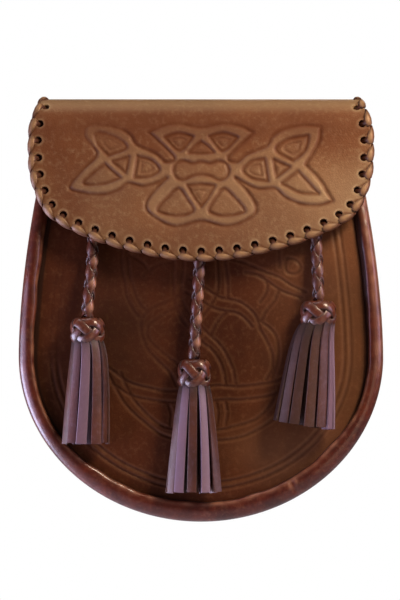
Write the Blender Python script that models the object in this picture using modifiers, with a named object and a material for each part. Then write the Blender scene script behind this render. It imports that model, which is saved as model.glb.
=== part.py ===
"""Sporran pouch: a soft leather pouch with a folded, laced flap and three hanging leather tassels.

Metres, +Z up. The front faces -Y and the wearer's side is +Y. The origin lies on the outer face of
the back panel, midway between the two belt loops, where the pouch hangs from its strap. Heights
are given as a drop: the distance below the crest of the flap.
"""

from collections import namedtuple
from math import cos, hypot, pi, sin, sqrt

import bmesh
import bpy
from mathutils import Matrix, Vector

MM = 0.001
GAP = 0.3 * MM  # clearance between neighbouring pieces
WELD = 0.01 * MM

# Body, seen from the front: leaning sides above an elliptic bowl
CREST_Z = 52 * MM  # crest of the flap above the belt loops' middle
WIDEST_DROP = 126.4 * MM
HALF_WIDTH = 89.4 * MM
BOWL_DEPTH = 81.3 * MM
SIDE_RISE = 120 * MM
SIDE_DRAW_IN = 17.1 * MM  # the sides lean in by this much over SIDE_RISE
SIDE_POWER = 1.7
SIDE_STEPS = 8
BOWL_STEPS = 12  # for each half of the bowl

# Body, seen from the side: the pouch is thinner at its mouth
MOUTH_DEPTH = 23 * MM  # back face to the rim's frontmost line
BODY_DEPTH = 32 * MM
THIN_DROP = 20 * MM
FULL_DROP = 90 * MM
MOUTH_DROP = 21 * MM  # upper end of the front panel, the gusset and the rim

# Panels and gusset
BACK_THICKNESS = 2.0 * MM
BACK_TOP_DROP = 15 * MM
PANEL_THICKNESS = 2.3 * MM
PANEL_RECESS = 4.5 * MM  # panel's face behind the rim's frontmost line
PANEL_DOME = 1.5 * MM
PANEL_COLUMNS = 8
GUSSET_THICKNESS = 2.0 * MM
GUSSET_INSET = 1.2 * MM  # behind the rim's outer line
GUSSET_WAIST = 1.4 * MM  # how far the band sinks in between its two seams

# Front rim: section points, across from the body's outer line and back from the frontmost line
SectionPoint = namedtuple("SectionPoint", "inward back")
RIM_DEPTH = 7.4 * MM
RIM_WALL = 6.2 * MM
RIM_LIP = 9.2 * MM
RIM_SECTION = [
    SectionPoint(0.9 * MM, RIM_DEPTH),
    SectionPoint(0.0 * MM, 5.0 * MM),
    SectionPoint(0.0 * MM, 3.0 * MM),
    SectionPoint(1.1 * MM, 0.9 * MM),
    SectionPoint(3.6 * MM, 0.0 * MM),
    SectionPoint(5.8 * MM, 0.9 * MM),
    SectionPoint(7.1 * MM, 3.1 * MM),
    SectionPoint(8.2 * MM, 2.6 * MM),
    SectionPoint(RIM_LIP, 3.4 * MM),
    SectionPoint(RIM_LIP, PANEL_RECESS - GAP),
    SectionPoint(RIM_WALL, PANEL_RECESS - GAP),
    SectionPoint(RIM_WALL, RIM_DEPTH),
]

# Flap: the middle of the sheet seen from the side, and the half outline of its front and back
ProfilePoint = namedtuple("ProfilePoint", "forward drop")
EdgePoint = namedtuple("EdgePoint", "half_width drop")
TailPoint = namedtuple("TailPoint", "half_width reach")
FLAP_THICKNESS = 2.4 * MM
FLAP_PROFILE = [
    ProfilePoint(-1.5 * MM, 28.0 * MM),
    ProfilePoint(-1.5 * MM, 20.0 * MM),
    ProfilePoint(-1.3 * MM, 12.5 * MM),
    ProfilePoint(1.0 * MM, 6.2 * MM),
    ProfilePoint(5.4 * MM, 2.4 * MM),
    ProfilePoint(11.0 * MM, 1.2 * MM),
    ProfilePoint(16.8 * MM, 2.5 * MM),
    ProfilePoint(21.4 * MM, 6.4 * MM),
    ProfilePoint(23.8 * MM, 12.5 * MM),
    ProfilePoint(25.4 * MM, 21.0 * MM),
    ProfilePoint(28.4 * MM, 33.0 * MM),
    ProfilePoint(32.2 * MM, 46.0 * MM),
    ProfilePoint(36.0 * MM, 59.0 * MM),
    ProfilePoint(38.6 * MM, 70.0 * MM),
    ProfilePoint(39.6 * MM, 80.0 * MM),
]
CREST_POINT = 5  # row of FLAP_PROFILE that lies on the crest
FLAP_TAIL = [  # reach is measured along the leather, back from the crest
    TailPoint(73.0 * MM, -32.0 * MM),
    TailPoint(73.6 * MM, -22.0 * MM),
    TailPoint(75.0 * MM, -12.0 * MM),
    TailPoint(77.6 * MM, -2.0 * MM),
]
FLAP_EDGE = [
    EdgePoint(80.4 * MM, 5.0 * MM),
    EdgePoint(83.1 * MM, 13.0 * MM),
    EdgePoint(83.8 * MM, 23.0 * MM),
    EdgePoint(83.1 * MM, 36.0 * MM),
    EdgePoint(80.9 * MM, 44.5 * MM),
    EdgePoint(78.2 * MM, 51.0 * MM),
    EdgePoint(74.2 * MM, 56.8 * MM),
    EdgePoint(67.2 * MM, 61.8 * MM),
    EdgePoint(57.5 * MM, 66.4 * MM),
    EdgePoint(44.2 * MM, 71.3 * MM),
    EdgePoint(27.5 * MM, 75.6 * MM),
    EdgePoint(13.5 * MM, 78.1 * MM),
    EdgePoint(0.0 * MM, 79.0 * MM),
]
FLAP_CORNER = FLAP_EDGE[6]  # the grid's lower corner
FLAP_HALF_WIDTH = 84 * MM
FLAP_CROWN = 3.6 * MM  # the sides curl back by this much at the lower edge
FLAP_CROWN_POWER = 3.5
FLAP_CROWN_DROP = 20 * MM  # where the curl starts, and the height over which it grows
FLAP_CROWN_RUN = 60 * MM
FLAP_COLUMNS = 14
FLAP_ROWS = 22

# Lacing: a flat lace sewn over the flap's edge
LACE_HOLES = 37
LACE_PITCH = 9.1 * MM
LACE_MARGIN = 3.8 * MM  # hole's centre from the leather's edge
HOLE_RADIUS = 1.85 * MM
HOLE_SIDES = 8
LACE_WIDTH = 3.0 * MM
LACE_HOLE_WIDTH = 2.4 * MM
LACE_THICKNESS = 0.9 * MM
LACE_GAP = 0.45 * MM  # a little slack, because the leather between the facets bends
LACE_OFF = FLAP_THICKNESS / 2 + LACE_GAP + LACE_THICKNESS / 2
LACE_BEYOND = LACE_MARGIN + LACE_GAP + LACE_THICKNESS / 2  # past the leather's edge
Stitch = namedtuple("Stitch", "along out height facing width")
STITCH = [  # one turn: share of the pitch, out from the holes, above the sheet, facing in half turns
    Stitch(0.00, 0.0, 0.0, 1.0, LACE_HOLE_WIDTH),
    Stitch(0.00, 0.0, 0.75 * LACE_OFF, 0.85, LACE_HOLE_WIDTH),
    Stitch(0.07, 0.3 * LACE_MARGIN, 1.10 * LACE_OFF, 0.5, LACE_HOLE_WIDTH),
    Stitch(0.37, 1.05 * LACE_MARGIN, 1.15 * LACE_OFF, 0.4, LACE_WIDTH),
    Stitch(0.45, 1.09 * LACE_BEYOND, 0.62 * LACE_OFF, 0.1, LACE_WIDTH),
    Stitch(0.55, 1.09 * LACE_BEYOND, -0.62 * LACE_OFF, -0.1, LACE_WIDTH),
    Stitch(0.63, 1.05 * LACE_MARGIN, -1.15 * LACE_OFF, -0.4, LACE_WIDTH),
    Stitch(0.93, 0.3 * LACE_MARGIN, -1.10 * LACE_OFF, -0.5, LACE_HOLE_WIDTH),
    Stitch(1.00, 0.0, -0.75 * LACE_OFF, -0.85, LACE_HOLE_WIDTH),
]

# Closure stud between the panel and the flap
STUD_DROP = 50 * MM
STUD_HEIGHT = 7.0 * MM
STUD_BASE_RADIUS = 6 * MM
STUD_POST_RADIUS = 3 * MM
STUD_FLANGE = 1.4 * MM
STUD_STEPS = 16

# Belt loops on the back
LOOP_SPREAD = 45 * MM  # from the middle of the pouch
LOOP_WIDTH = 20 * MM
LOOP_HALF_HEIGHT = 24 * MM
LOOP_THICKNESS = 2.0 * MM
LOOP_RISE = 6.6 * MM
LOOP_FLAT_END = 7 * MM
LOOP_RAMP = 4 * MM
LOOP_ROWS = 24

# Tassels
CORD_RADIUS = 3.2 * MM
CORD_STEP = 6 * MM
CORD_END_GAP = 1.5 * GAP  # the braid meets the knot at a slight tilt
TAB_SIZE = Vector((9 * MM, 6.2 * MM, 8 * MM))
TAB_BEVEL = 0.8 * MM
KNOT_FLATTENING = 0.8  # depth over width
KNOT_STEPS = 14
KNOT_BANDS = 3
KNOT_NECK = 0.76  # radius at its ends, and what the barrel and the bands add, over the half width
KNOT_BARREL = 0.18
KNOT_BAND = 0.06
STRIPS = 12
STRIP_THICKNESS = 1.4 * MM
STRIP_PROUD = 0.25 * MM
STRIP_FILL = 0.86  # strip's width over the room it has
STRIP_TAPER = 0.62  # inner width over outer width
STRIP_SECTIONS = (0.03, 0.35, 0.68, 1.0)  # shares of the fringe's height
HEAD_HEIGHT = 5 * MM
FRINGE_STEPS = 24
FRINGE_FLARE = 1.3  # above 1, the fringe widens mostly near its end
FRINGE_BELLY = 0.6 * MM  # how far the strips bow out halfway down
RoutePoint = namedtuple("RoutePoint", "x y drop")
Tassel = namedtuple(
    "Tassel",
    "name route knot_half_width knot_height fringe_x fringe_half_width end_x end_half_width end_drop "
    "end_slant",
)
TASSELS = [
    Tassel(
        name="left",
        route=[
            RoutePoint(-52.6 * MM, -28.9 * MM, 62.5 * MM),
            RoutePoint(-53.0 * MM, -30.6 * MM, 73.0 * MM),
            RoutePoint(-53.7 * MM, -32.5 * MM, 85.0 * MM),
            RoutePoint(-54.9 * MM, -34.7 * MM, 97.0 * MM),
            RoutePoint(-55.5 * MM, -35.4 * MM, 103.0 * MM),
            RoutePoint(-55.6 * MM, -35.5 * MM, 107.3 * MM),
        ],
        knot_half_width=8.6 * MM,
        knot_height=13.6 * MM,
        fringe_x=-54.6 * MM,
        fringe_half_width=8.3 * MM,
        end_x=-56.3 * MM,
        end_half_width=11.2 * MM,
        end_drop=169.8 * MM,
        end_slant=0.0,
    ),
    Tassel(
        name="middle",
        route=[
            RoutePoint(-0.5 * MM, -30.4 * MM, 68.0 * MM),
            RoutePoint(-0.8 * MM, -32.1 * MM, 80.0 * MM),
            RoutePoint(-1.5 * MM, -33.7 * MM, 95.0 * MM),
            RoutePoint(-2.5 * MM, -35.1 * MM, 110.0 * MM),
            RoutePoint(-3.2 * MM, -35.9 * MM, 122.5 * MM),
            RoutePoint(-3.3 * MM, -36.0 * MM, 127.7 * MM),
        ],
        knot_half_width=8.3 * MM,
        knot_height=15.2 * MM,
        fringe_x=-3.4 * MM,
        fringe_half_width=8.1 * MM,
        end_x=-3.9 * MM,
        end_half_width=13.6 * MM,
        end_drop=193.6 * MM,
        end_slant=0.0,
    ),
    Tassel(
        name="right",
        route=[
            RoutePoint(56.1 * MM, -27.7 * MM, 56.0 * MM),
            RoutePoint(56.3 * MM, -29.6 * MM, 66.0 * MM),
            RoutePoint(56.8 * MM, -31.8 * MM, 77.0 * MM),
            RoutePoint(57.2 * MM, -34.3 * MM, 87.0 * MM),
            RoutePoint(57.4 * MM, -35.9 * MM, 94.5 * MM),
            RoutePoint(57.4 * MM, -36.0 * MM, 99.0 * MM),
        ],
        knot_half_width=9.0 * MM,
        knot_height=13.6 * MM,
        fringe_x=54.6 * MM,
        fringe_half_width=9.4 * MM,
        end_x=50.3 * MM,
        end_half_width=15.0 * MM,
        end_drop=160.6 * MM,
        end_slant=0.17,
    ),
]


# ---------------------------------------------------------------------------------------------
# Scene, materials and shared shape helpers
# ---------------------------------------------------------------------------------------------


def clear_scene():
    for old in list(bpy.data.objects):
        bpy.data.objects.remove(old, do_unlink=True)


def new_collection(name):
    collection = bpy.data.collections.new(name)
    bpy.context.scene.collection.children.link(collection)
    return collection


def leather(name, colour, roughness=0.5):
    material = bpy.data.materials.new(name)
    material.use_nodes = True
    shader = material.node_tree.nodes["Principled BSDF"]
    shader.inputs["Base Color"].default_value = (*colour, 1.0)
    shader.inputs["Roughness"].default_value = roughness
    return material


def metal(name, colour, roughness=0.35):
    material = leather(name, colour, roughness)
    material.node_tree.nodes["Principled BSDF"].inputs["Metallic"].default_value = 1.0
    return material


def add_object(name, data, material, collection):
    piece = bpy.data.objects.new(name, data)
    if material:
        data.materials.append(material)
    collection.objects.link(piece)
    return piece


def smooth_step(share):
    share = min(max(share, 0.0), 1.0)
    return share * share * (3 - 2 * share)


def blend(low, high, share):
    return low + (high - low) * share


def smooth_curve(points, steps):
    """Points along a Catmull-Rom curve through the given ones, steps for each stretch."""
    ends = [2 * points[0] - points[1], *points, 2 * points[-1] - points[-2]]
    curve = []
    for before, start, end, after in zip(ends, ends[1:], ends[2:], ends[3:]):
        for step in range(steps):
            t = step / steps
            curve.append(
                0.5
                * (
                    2 * start
                    + (end - before) * t
                    + (2 * before - 5 * start + 4 * end - after) * t**2
                    + (3 * start - before - 3 * end + after) * t**3
                )
            )
    return [*curve, points[-1].copy()]


class Trace:
    """A curve read by the distance along it."""

    def __init__(self, points):
        self.points = points
        self.distances = [0.0]
        for start, end in zip(points, points[1:]):
            self.distances.append(self.distances[-1] + (end - start).length)
        self.length = self.distances[-1]

    def stretch(self, distance):
        """The index of the stretch that holds a distance, and the share of it that is passed."""
        last = len(self.points) - 2
        index = 0
        while index < last and self.distances[index + 1] < distance:
            index += 1
        span = self.distances[index + 1] - self.distances[index]
        return index, (distance - self.distances[index]) / span

    def at(self, distance):
        index, share = self.stretch(distance)
        return self.points[index].lerp(self.points[index + 1], share)

    def direction(self, distance, reach=1.0 * MM):
        return (self.at(distance + reach) - self.at(distance - reach)).normalized()


def loft(name, rings, material, collection):
    """A solid through rings of the same number of corners, with flat ends."""
    work = bmesh.new()
    loops = [[work.verts.new(corner) for corner in ring] for ring in rings]
    for near, far in zip(loops, loops[1:]):
        for i in range(len(near)):
            work.faces.new((near[i - 1], near[i], far[i], far[i - 1]))
    work.faces.new(reversed(loops[0]))
    work.faces.new(loops[-1])
    bmesh.ops.recalc_face_normals(work, faces=work.faces)
    mesh = bpy.data.meshes.new(name)
    work.to_mesh(mesh)
    work.free()
    return add_object(name, mesh, material, collection)


def leather_sheet(name, columns, rows, place, thickness, material, collection):
    """A sheet of even thickness round place(across, down): across from -1 to 1, down from 0 to 1."""
    work = bmesh.new()
    bmesh.ops.create_grid(work, x_segments=columns, y_segments=rows, size=1)
    for corner in work.verts:
        corner.co = place(corner.co.x, (1 - corner.co.y) / 2)
    bmesh.ops.remove_doubles(work, verts=work.verts, dist=WELD)
    bmesh.ops.recalc_face_normals(work, faces=work.faces)
    mesh = bpy.data.meshes.new(name)
    work.to_mesh(mesh)
    work.free()
    piece = add_object(name, mesh, material, collection)
    wall = piece.modifiers.new("wall", "SOLIDIFY")
    wall.thickness = thickness
    wall.offset = 0
    wall.use_even_offset = True
    return piece


def turned(name, outline, steps, material, collection):
    """A turned solid: outline is (radius, height) pairs from the top of the axis to its foot."""
    mesh = bpy.data.meshes.new(name)
    corners = [(radius, 0, height) for radius, height in outline]
    mesh.from_pydata(corners, [(i, i + 1) for i in range(len(corners) - 1)], [])
    piece = add_object(name, mesh, material, collection)
    screw = piece.modifiers.new("turn", "SCREW")
    screw.steps = steps
    screw.render_steps = steps
    screw.use_merge_vertices = True
    screw.merge_threshold = WELD
    return piece


# ---------------------------------------------------------------------------------------------
# Body
# ---------------------------------------------------------------------------------------------

Station = namedtuple("Station", "x drop outward")  # outward is a unit (x, drop) vector


def half_width(drop):
    """Half of the body's width at a drop."""
    below = drop - WIDEST_DROP
    if below < 0:
        return HALF_WIDTH - SIDE_DRAW_IN * (-below / SIDE_RISE) ** SIDE_POWER
    return HALF_WIDTH * sqrt(max(0.0, 1 - (below / BOWL_DEPTH) ** 2))


def body_edge(top_drop):
    """Stations along the body's outer line, from the left of the mouth round to the right."""
    right = []
    for step in range(SIDE_STEPS):
        drop = blend(top_drop, WIDEST_DROP, step / SIDE_STEPS)
        right.append(Vector((half_width(drop), drop)))
    for step in range(BOWL_STEPS + 1):
        angle = pi / 2 * step / BOWL_STEPS
        right.append(
            Vector((HALF_WIDTH * cos(angle), WIDEST_DROP + BOWL_DEPTH * sin(angle)))
        )
    left = [Vector((-point.x, point.y)) for point in right[:-1]]
    line = [*left, *reversed(right)]
    stations = []
    for i, point in enumerate(line):
        along = line[min(i + 1, len(line) - 1)] - line[max(i - 1, 0)]
        outward = Vector((-along.y, along.x)).normalized()
        stations.append(Station(point.x, point.y, outward))
    return stations


def inset_station(station, inward):
    return station.x - station.outward.x * inward, station.drop - station.outward.y * inward


def rim_front(drop):
    """Y of the rim's frontmost line: the pouch thins towards its mouth."""
    share = smooth_step((drop - THIN_DROP) / (FULL_DROP - THIN_DROP))
    return -blend(MOUTH_DEPTH, BODY_DEPTH, share)


def panel_face(x, drop):
    """Y of the front panel's face, which is softly domed."""
    below = max(drop - WIDEST_DROP, 0.0)
    across = x / (half_width(min(drop, WIDEST_DROP)) - RIM_LIP)
    from_middle = min(hypot(across, below / (BOWL_DEPTH - RIM_LIP)), 1.0)
    return rim_front(drop) + PANEL_RECESS - PANEL_DOME * (1 - from_middle**2)


def make_back_panel(material, collection):
    """A flat panel: a filled 2D outline, stood upright."""
    stations = body_edge(BACK_TOP_DROP)
    outline = [inset_station(station, GUSSET_INSET) for station in stations]
    curve = bpy.data.curves.new("back_panel", "CURVE")
    curve.dimensions = "2D"
    curve.fill_mode = "BOTH"
    curve.extrude = BACK_THICKNESS / 2
    spline = curve.splines.new("POLY")
    spline.points.add(len(outline) - 1)
    for point, (x, drop) in zip(spline.points, outline):
        point.co = (x, CREST_Z - drop, 0, 1)
    spline.use_cyclic_u = True
    piece = add_object("back_panel", curve, material, collection)
    piece.rotation_euler.x = pi / 2
    piece.location.y = -BACK_THICKNESS / 2
    return piece


def make_front_panel(material, collection):
    stations = body_edge(MOUTH_DROP)
    half = stations[len(stations) // 2 :]
    edge = [inset_station(station, RIM_WALL + GAP) for station in reversed(half)]

    def place(across, down):
        x, drop = edge[round(down * (len(edge) - 1))]
        x *= across
        y = panel_face(x, drop) + PANEL_THICKNESS / 2
        return Vector((x, y, CREST_Z - drop))

    return leather_sheet(
        "front_panel", PANEL_COLUMNS, len(edge) - 1, place, PANEL_THICKNESS, material, collection
    )


def make_gusset(material, collection):
    """The band between the two panels, sunk a little between its seams."""
    rings = []
    for station in body_edge(MOUTH_DROP):
        back = -BACK_THICKNESS - GAP
        front = rim_front(station.drop) + RIM_DEPTH + GAP
        across = [(0.0, 0.0), (0.5, GUSSET_WAIST), (1.0, 0.0)]
        corners = [(share, sink) for share, sink in across]
        corners += [(share, sink + GUSSET_THICKNESS) for share, sink in reversed(across)]
        ring = []
        for share, sink in corners:
            x, drop = inset_station(station, GUSSET_INSET + sink)
            ring.append(Vector((x, blend(back, front, share), CREST_Z - drop)))
        rings.append(ring)
    return loft("gusset", rings, material, collection)


def make_front_rim(material, collection):
    rings = []
    for station in body_edge(MOUTH_DROP):
        ring = []
        for point in RIM_SECTION:
            x, drop = inset_station(station, point.inward)
            y = rim_front(drop) + point.back
            ring.append(Vector((x, y, CREST_Z - drop)))
        rings.append(ring)
    return loft("front_rim", rings, material, collection)


# ---------------------------------------------------------------------------------------------
# Flap and lacing
# ---------------------------------------------------------------------------------------------


class FlapPattern:
    """The flap as it is cut flat, x across and reach along the leather, and as it is folded."""

    PROFILE_STEPS = 8
    EDGE_STEPS = 6

    def __init__(self):
        side = [Vector((-point.forward, point.drop)) for point in FLAP_PROFILE]
        self.profile = Trace(smooth_curve(side, self.PROFILE_STEPS))
        self.crest = self.profile.distances[CREST_POINT * self.PROFILE_STEPS]
        tail = [Vector((point.half_width, point.reach)) for point in FLAP_TAIL]
        front = [Vector((point.half_width, self.reach_at(point.drop))) for point in FLAP_EDGE]
        corner_index = (len(tail) + FLAP_EDGE.index(FLAP_CORNER)) * self.EDGE_STEPS
        right = smooth_curve(tail + front, self.EDGE_STEPS)
        left = [Vector((-point.x, point.y)) for point in right]
        self.edge = Trace([*left, *reversed(right[:-1])])
        self.corner = self.edge.distances[corner_index]
        self.tail_reach = FLAP_TAIL[0].reach

    def reach_at(self, drop):
        """Distance along the leather from the crest down the front to a drop."""
        start = CREST_POINT * self.PROFILE_STEPS
        for index in range(start, len(self.profile.points) - 1):
            above, below = self.profile.points[index : index + 2]
            if below.y >= drop:
                share = (drop - above.y) / (below.y - above.y)
                passed = blend(*self.profile.distances[index : index + 2], share)
                return passed - self.crest
        return self.profile.length - self.crest

    def fold(self, x, reach, height=0.0):
        """The place in space of a pattern point, at a height above the sheet's middle."""
        distance = self.crest + reach
        y, drop = self.profile.at(distance)
        along = self.profile.direction(distance)
        across = abs(x / FLAP_HALF_WIDTH) ** FLAP_CROWN_POWER
        if reach > 0:
            y += FLAP_CROWN * smooth_step((drop - FLAP_CROWN_DROP) / FLAP_CROWN_RUN) * across
        outward = Vector((0, -along.y, -along.x))
        return Vector((x, y, CREST_Z - drop)) + outward * height

    def place(self, across, down):
        """A Coons patch between the tail's end, the two sides and the lower edge."""
        u = (across + 1) / 2
        left = self.edge.at(down * self.corner)
        right = Vector((-left.x, left.y))
        tail = Vector((across * FLAP_TAIL[0].half_width, self.tail_reach))
        lower = self.edge.at(blend(self.corner, self.edge.length - self.corner, u))
        start = self.edge.at(0)
        corner = self.edge.at(self.corner)
        sides = left.lerp(right, u)
        ends = tail.lerp(lower, down)
        corners = Vector((across * -start.x, start.y)).lerp(
            Vector((across * -corner.x, corner.y)), down
        )
        return self.fold(*(sides + ends - corners))

    def lace_point(self, along, out, height):
        """A place round the flap's edge: out from the line of holes, height above the sheet."""
        edge = self.edge.at(along)
        tangent = self.edge.direction(along)
        outward = Vector((-tangent.y, tangent.x))
        point = edge + outward * (out - LACE_MARGIN)
        return self.fold(point.x, point.y, height)

    def hole_distances(self):
        first = (self.edge.length - (LACE_HOLES - 1) * LACE_PITCH) / 2
        return [first + number * LACE_PITCH for number in range(LACE_HOLES)]


def make_hole_cutter(pattern, cutters):
    """All punched holes as one mesh of short cylinders, square to the leather."""
    work = bmesh.new()
    for distance in pattern.hole_distances():
        low = pattern.lace_point(distance, 0, -FLAP_THICKNESS)
        high = pattern.lace_point(distance, 0, FLAP_THICKNESS)
        axis = high - low
        turn = axis.to_track_quat("Z", "Y").to_matrix().to_4x4()
        bmesh.ops.create_cone(
            work,
            cap_ends=True,
            segments=HOLE_SIDES,
            radius1=HOLE_RADIUS,
            radius2=HOLE_RADIUS,
            depth=axis.length,
            matrix=Matrix.Translation((low + high) / 2) @ turn,
        )
    mesh = bpy.data.meshes.new("hole_cutter")
    work.to_mesh(mesh)
    work.free()
    cutter = add_object("hole_cutter", mesh, None, cutters)
    cutter.hide_render = True
    cutter.display_type = "WIRE"
    return cutter


def make_flap(pattern, material, collection, cutters):
    flap = leather_sheet(
        "flap", FLAP_COLUMNS, FLAP_ROWS, pattern.place, FLAP_THICKNESS, material, collection
    )
    punch = flap.modifiers.new("punched holes", "BOOLEAN")
    punch.operation = "DIFFERENCE"
    punch.solver = "EXACT"
    punch.object = make_hole_cutter(pattern, cutters)
    return flap


def make_flap_lacing(pattern, material, collection):
    """One flat lace: up through a hole, over the edge, behind the flap and up the next hole."""
    turns = [
        (distance + stitch.along * LACE_PITCH, stitch)
        for distance in pattern.hole_distances()
        for stitch in STITCH
    ]
    turns = turns[: 2 - len(STITCH)]  # it ends just past the last hole
    centres, facings, widths = [], [], []
    for along, stitch in turns:
        centre = pattern.lace_point(along, stitch.out, stitch.height)
        step = 0.5 * MM
        outward = pattern.lace_point(along, stitch.out + step, stitch.height) - centre
        upward = pattern.lace_point(along, stitch.out, stitch.height + step) - centre
        angle = stitch.facing * pi
        facings.append((outward * cos(angle) + upward * sin(angle)).normalized())
        centres.append(centre)
        widths.append(stitch.width)
    rings = []
    for i, centre in enumerate(centres):
        path = centres[min(i + 1, len(centres) - 1)] - centres[max(i - 1, 0)]
        side = path.cross(facings[i]).normalized()
        facing = side.cross(path).normalized()
        half = side * widths[i] / 2
        lift = facing * LACE_THICKNESS / 2
        rings.append(
            [centre - half - lift, centre + half - lift, centre + half + lift, centre - half + lift]
        )
    return loft("flap_lacing", rings, material, collection)


# ---------------------------------------------------------------------------------------------
# Closure stud and belt loops
# ---------------------------------------------------------------------------------------------


def make_closure_stud(material, collection):
    """A plain spool whose axis is square to the panel under it."""
    slope = 1.0 * MM
    foot = Vector((0, panel_face(0, STUD_DROP), CREST_Z - STUD_DROP))
    below = Vector((0, panel_face(0, STUD_DROP + slope), CREST_Z - STUD_DROP - slope))
    axis = (below - foot).cross(Vector((1, 0, 0))).normalized()
    outline = [
        (0, STUD_HEIGHT),
        (STUD_BASE_RADIUS, STUD_HEIGHT),
        (STUD_BASE_RADIUS, STUD_HEIGHT - STUD_FLANGE),
        (STUD_POST_RADIUS, STUD_HEIGHT - STUD_FLANGE),
        (STUD_POST_RADIUS, STUD_FLANGE),
        (STUD_BASE_RADIUS, STUD_FLANGE),
        (STUD_BASE_RADIUS, 0),
        (0, 0),
    ]
    stud = turned("closure_stud", outline, STUD_STEPS, material, collection)
    stud.rotation_mode = "QUATERNION"
    stud.rotation_quaternion = axis.to_track_quat("Z", "Y")
    stud.location = foot + axis * GAP
    return stud


def make_belt_loop(name, middle_x, material, collection):
    """A strip sewn flat at both ends and raised between them."""

    def place(across, down):
        z = blend(LOOP_HALF_HEIGHT, -LOOP_HALF_HEIGHT, down)
        from_end = LOOP_HALF_HEIGHT - abs(z)
        rise = LOOP_RISE * smooth_step((from_end - LOOP_FLAT_END) / LOOP_RAMP)
        y = GAP + LOOP_THICKNESS / 2 + rise
        return Vector((middle_x + across * LOOP_WIDTH / 2, y, z))

    return leather_sheet(name, 1, LOOP_ROWS, place, LOOP_THICKNESS, material, collection)


# ---------------------------------------------------------------------------------------------
# Tassels
# ---------------------------------------------------------------------------------------------


def route_in_space(tassel):
    """The braid's route, which stops just short of the knot."""
    points = [Vector((point.x, point.y, CREST_Z - point.drop)) for point in tassel.route]
    points[-1] += (points[-2] - points[-1]).normalized() * CORD_END_GAP
    return points


def make_tab(tassel, material, collection):
    """The tab that holds the braid's upper end to the panel, in line with the braid."""
    top, second = route_in_space(tassel)[:2]
    upward = (top - second).normalized()
    front = upward.cross(Vector((1, 0, 0))).normalized()
    turn = Matrix((front.cross(upward), front, upward)).transposed().to_4x4()
    middle = top + upward * (GAP + TAB_SIZE.z / 2)
    mesh = bpy.data.meshes.new(f"tassel_{tassel.name}_tab")
    work = bmesh.new()
    size = Matrix.Diagonal((*TAB_SIZE, 1.0))
    bmesh.ops.create_cube(work, size=1, matrix=Matrix.Translation(middle) @ turn @ size)
    work.to_mesh(mesh)
    work.free()
    tab = add_object(mesh.name, mesh, material, collection)
    rounding = tab.modifiers.new("rounded edges", "BEVEL")
    rounding.width = TAB_BEVEL
    rounding.segments = 1
    return tab


def make_cord(tassel, material, collection):
    route = Trace(smooth_curve(route_in_space(tassel), 8))
    count = max(2, round(route.length / CORD_STEP))
    curve = bpy.data.curves.new(f"tassel_{tassel.name}_cord", "CURVE")
    curve.dimensions = "3D"
    curve.bevel_depth = CORD_RADIUS
    curve.bevel_resolution = 2
    curve.use_fill_caps = True
    spline = curve.splines.new("POLY")
    spline.points.add(count)
    for step, point in enumerate(spline.points):
        point.co = (*route.at(route.length * step / count), 1)
    return add_object(curve.name, curve, material, collection)


def make_knot(tassel, material, collection):
    """A barrel with a swelling for each band of the woven knot."""
    rows = 4 * KNOT_BANDS
    outline = [(0, 0)]
    for row in range(rows + 1):
        share = row / rows
        barrel = KNOT_NECK + KNOT_BARREL * sin(pi * share)
        band = KNOT_BAND * abs(sin(pi * KNOT_BANDS * share))
        outline.append((tassel.knot_half_width * (barrel + band), -tassel.knot_height * share))
    outline.append((0, -tassel.knot_height))
    knot = turned(f"tassel_{tassel.name}_knot", outline, KNOT_STEPS, material, collection)
    end = tassel.route[-1]
    knot.location = (end.x, end.y, CREST_Z - end.drop)
    knot.scale.y = KNOT_FLATTENING
    return knot


def fringe_ring(tassel, down):
    """Centre, half width and half depth of the fringe at a share of its height."""
    end = tassel.route[-1]
    top_drop = end.drop + tassel.knot_height + GAP
    spread = down**FRINGE_FLARE
    centre = Vector((blend(tassel.fringe_x, tassel.end_x, spread), end.y, 0))
    centre.z = CREST_Z - blend(top_drop, tassel.end_drop, down)
    belly = FRINGE_BELLY * sin(pi * down)
    half = blend(tassel.fringe_half_width, tassel.end_half_width, spread) + belly
    depth = KNOT_FLATTENING * blend(tassel.fringe_half_width, tassel.knot_half_width, down)
    return centre, half, min(depth, KNOT_FLATTENING * tassel.knot_half_width) - STRIP_PROUD


def make_strips(tassel, cutters):
    """The hanging strips, each bent outwards a little, as one helper mesh."""
    rings = []
    for number in range(STRIPS):
        angle = 2 * pi * (number + 0.5) / STRIPS
        strip = []
        for down in STRIP_SECTIONS:
            centre, half, depth = fringe_ring(tassel, down)
            around = hypot(half * sin(angle), depth * cos(angle))
            tangent = Vector((-half * sin(angle), depth * cos(angle), 0)) / around
            outward = Vector((tangent.y, -tangent.x, 0))
            width = tangent * around * 2 * pi / STRIPS * STRIP_FILL / 2
            outer = centre + Vector((half * cos(angle), depth * sin(angle), 0))
            outer += outward * STRIP_PROUD
            if down == 1.0:
                outer.z += (outer.x - centre.x) * -tassel.end_slant
            inner = outer - outward * STRIP_THICKNESS
            narrow = width * STRIP_TAPER
            strip.append([outer - width, outer + width, inner + narrow, inner - narrow])
        rings.append(strip)
    strips = [loft("strip", strip, None, cutters) for strip in rings]
    work = bmesh.new()
    for strip in strips:
        work.from_mesh(strip.data)
        bpy.data.objects.remove(strip)
    mesh = bpy.data.meshes.new(f"{tassel.name}_strips")
    work.to_mesh(mesh)
    work.free()
    helper = add_object(mesh.name, mesh, None, cutters)
    helper.hide_render = True
    helper.display_type = "WIRE"
    return helper


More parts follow.
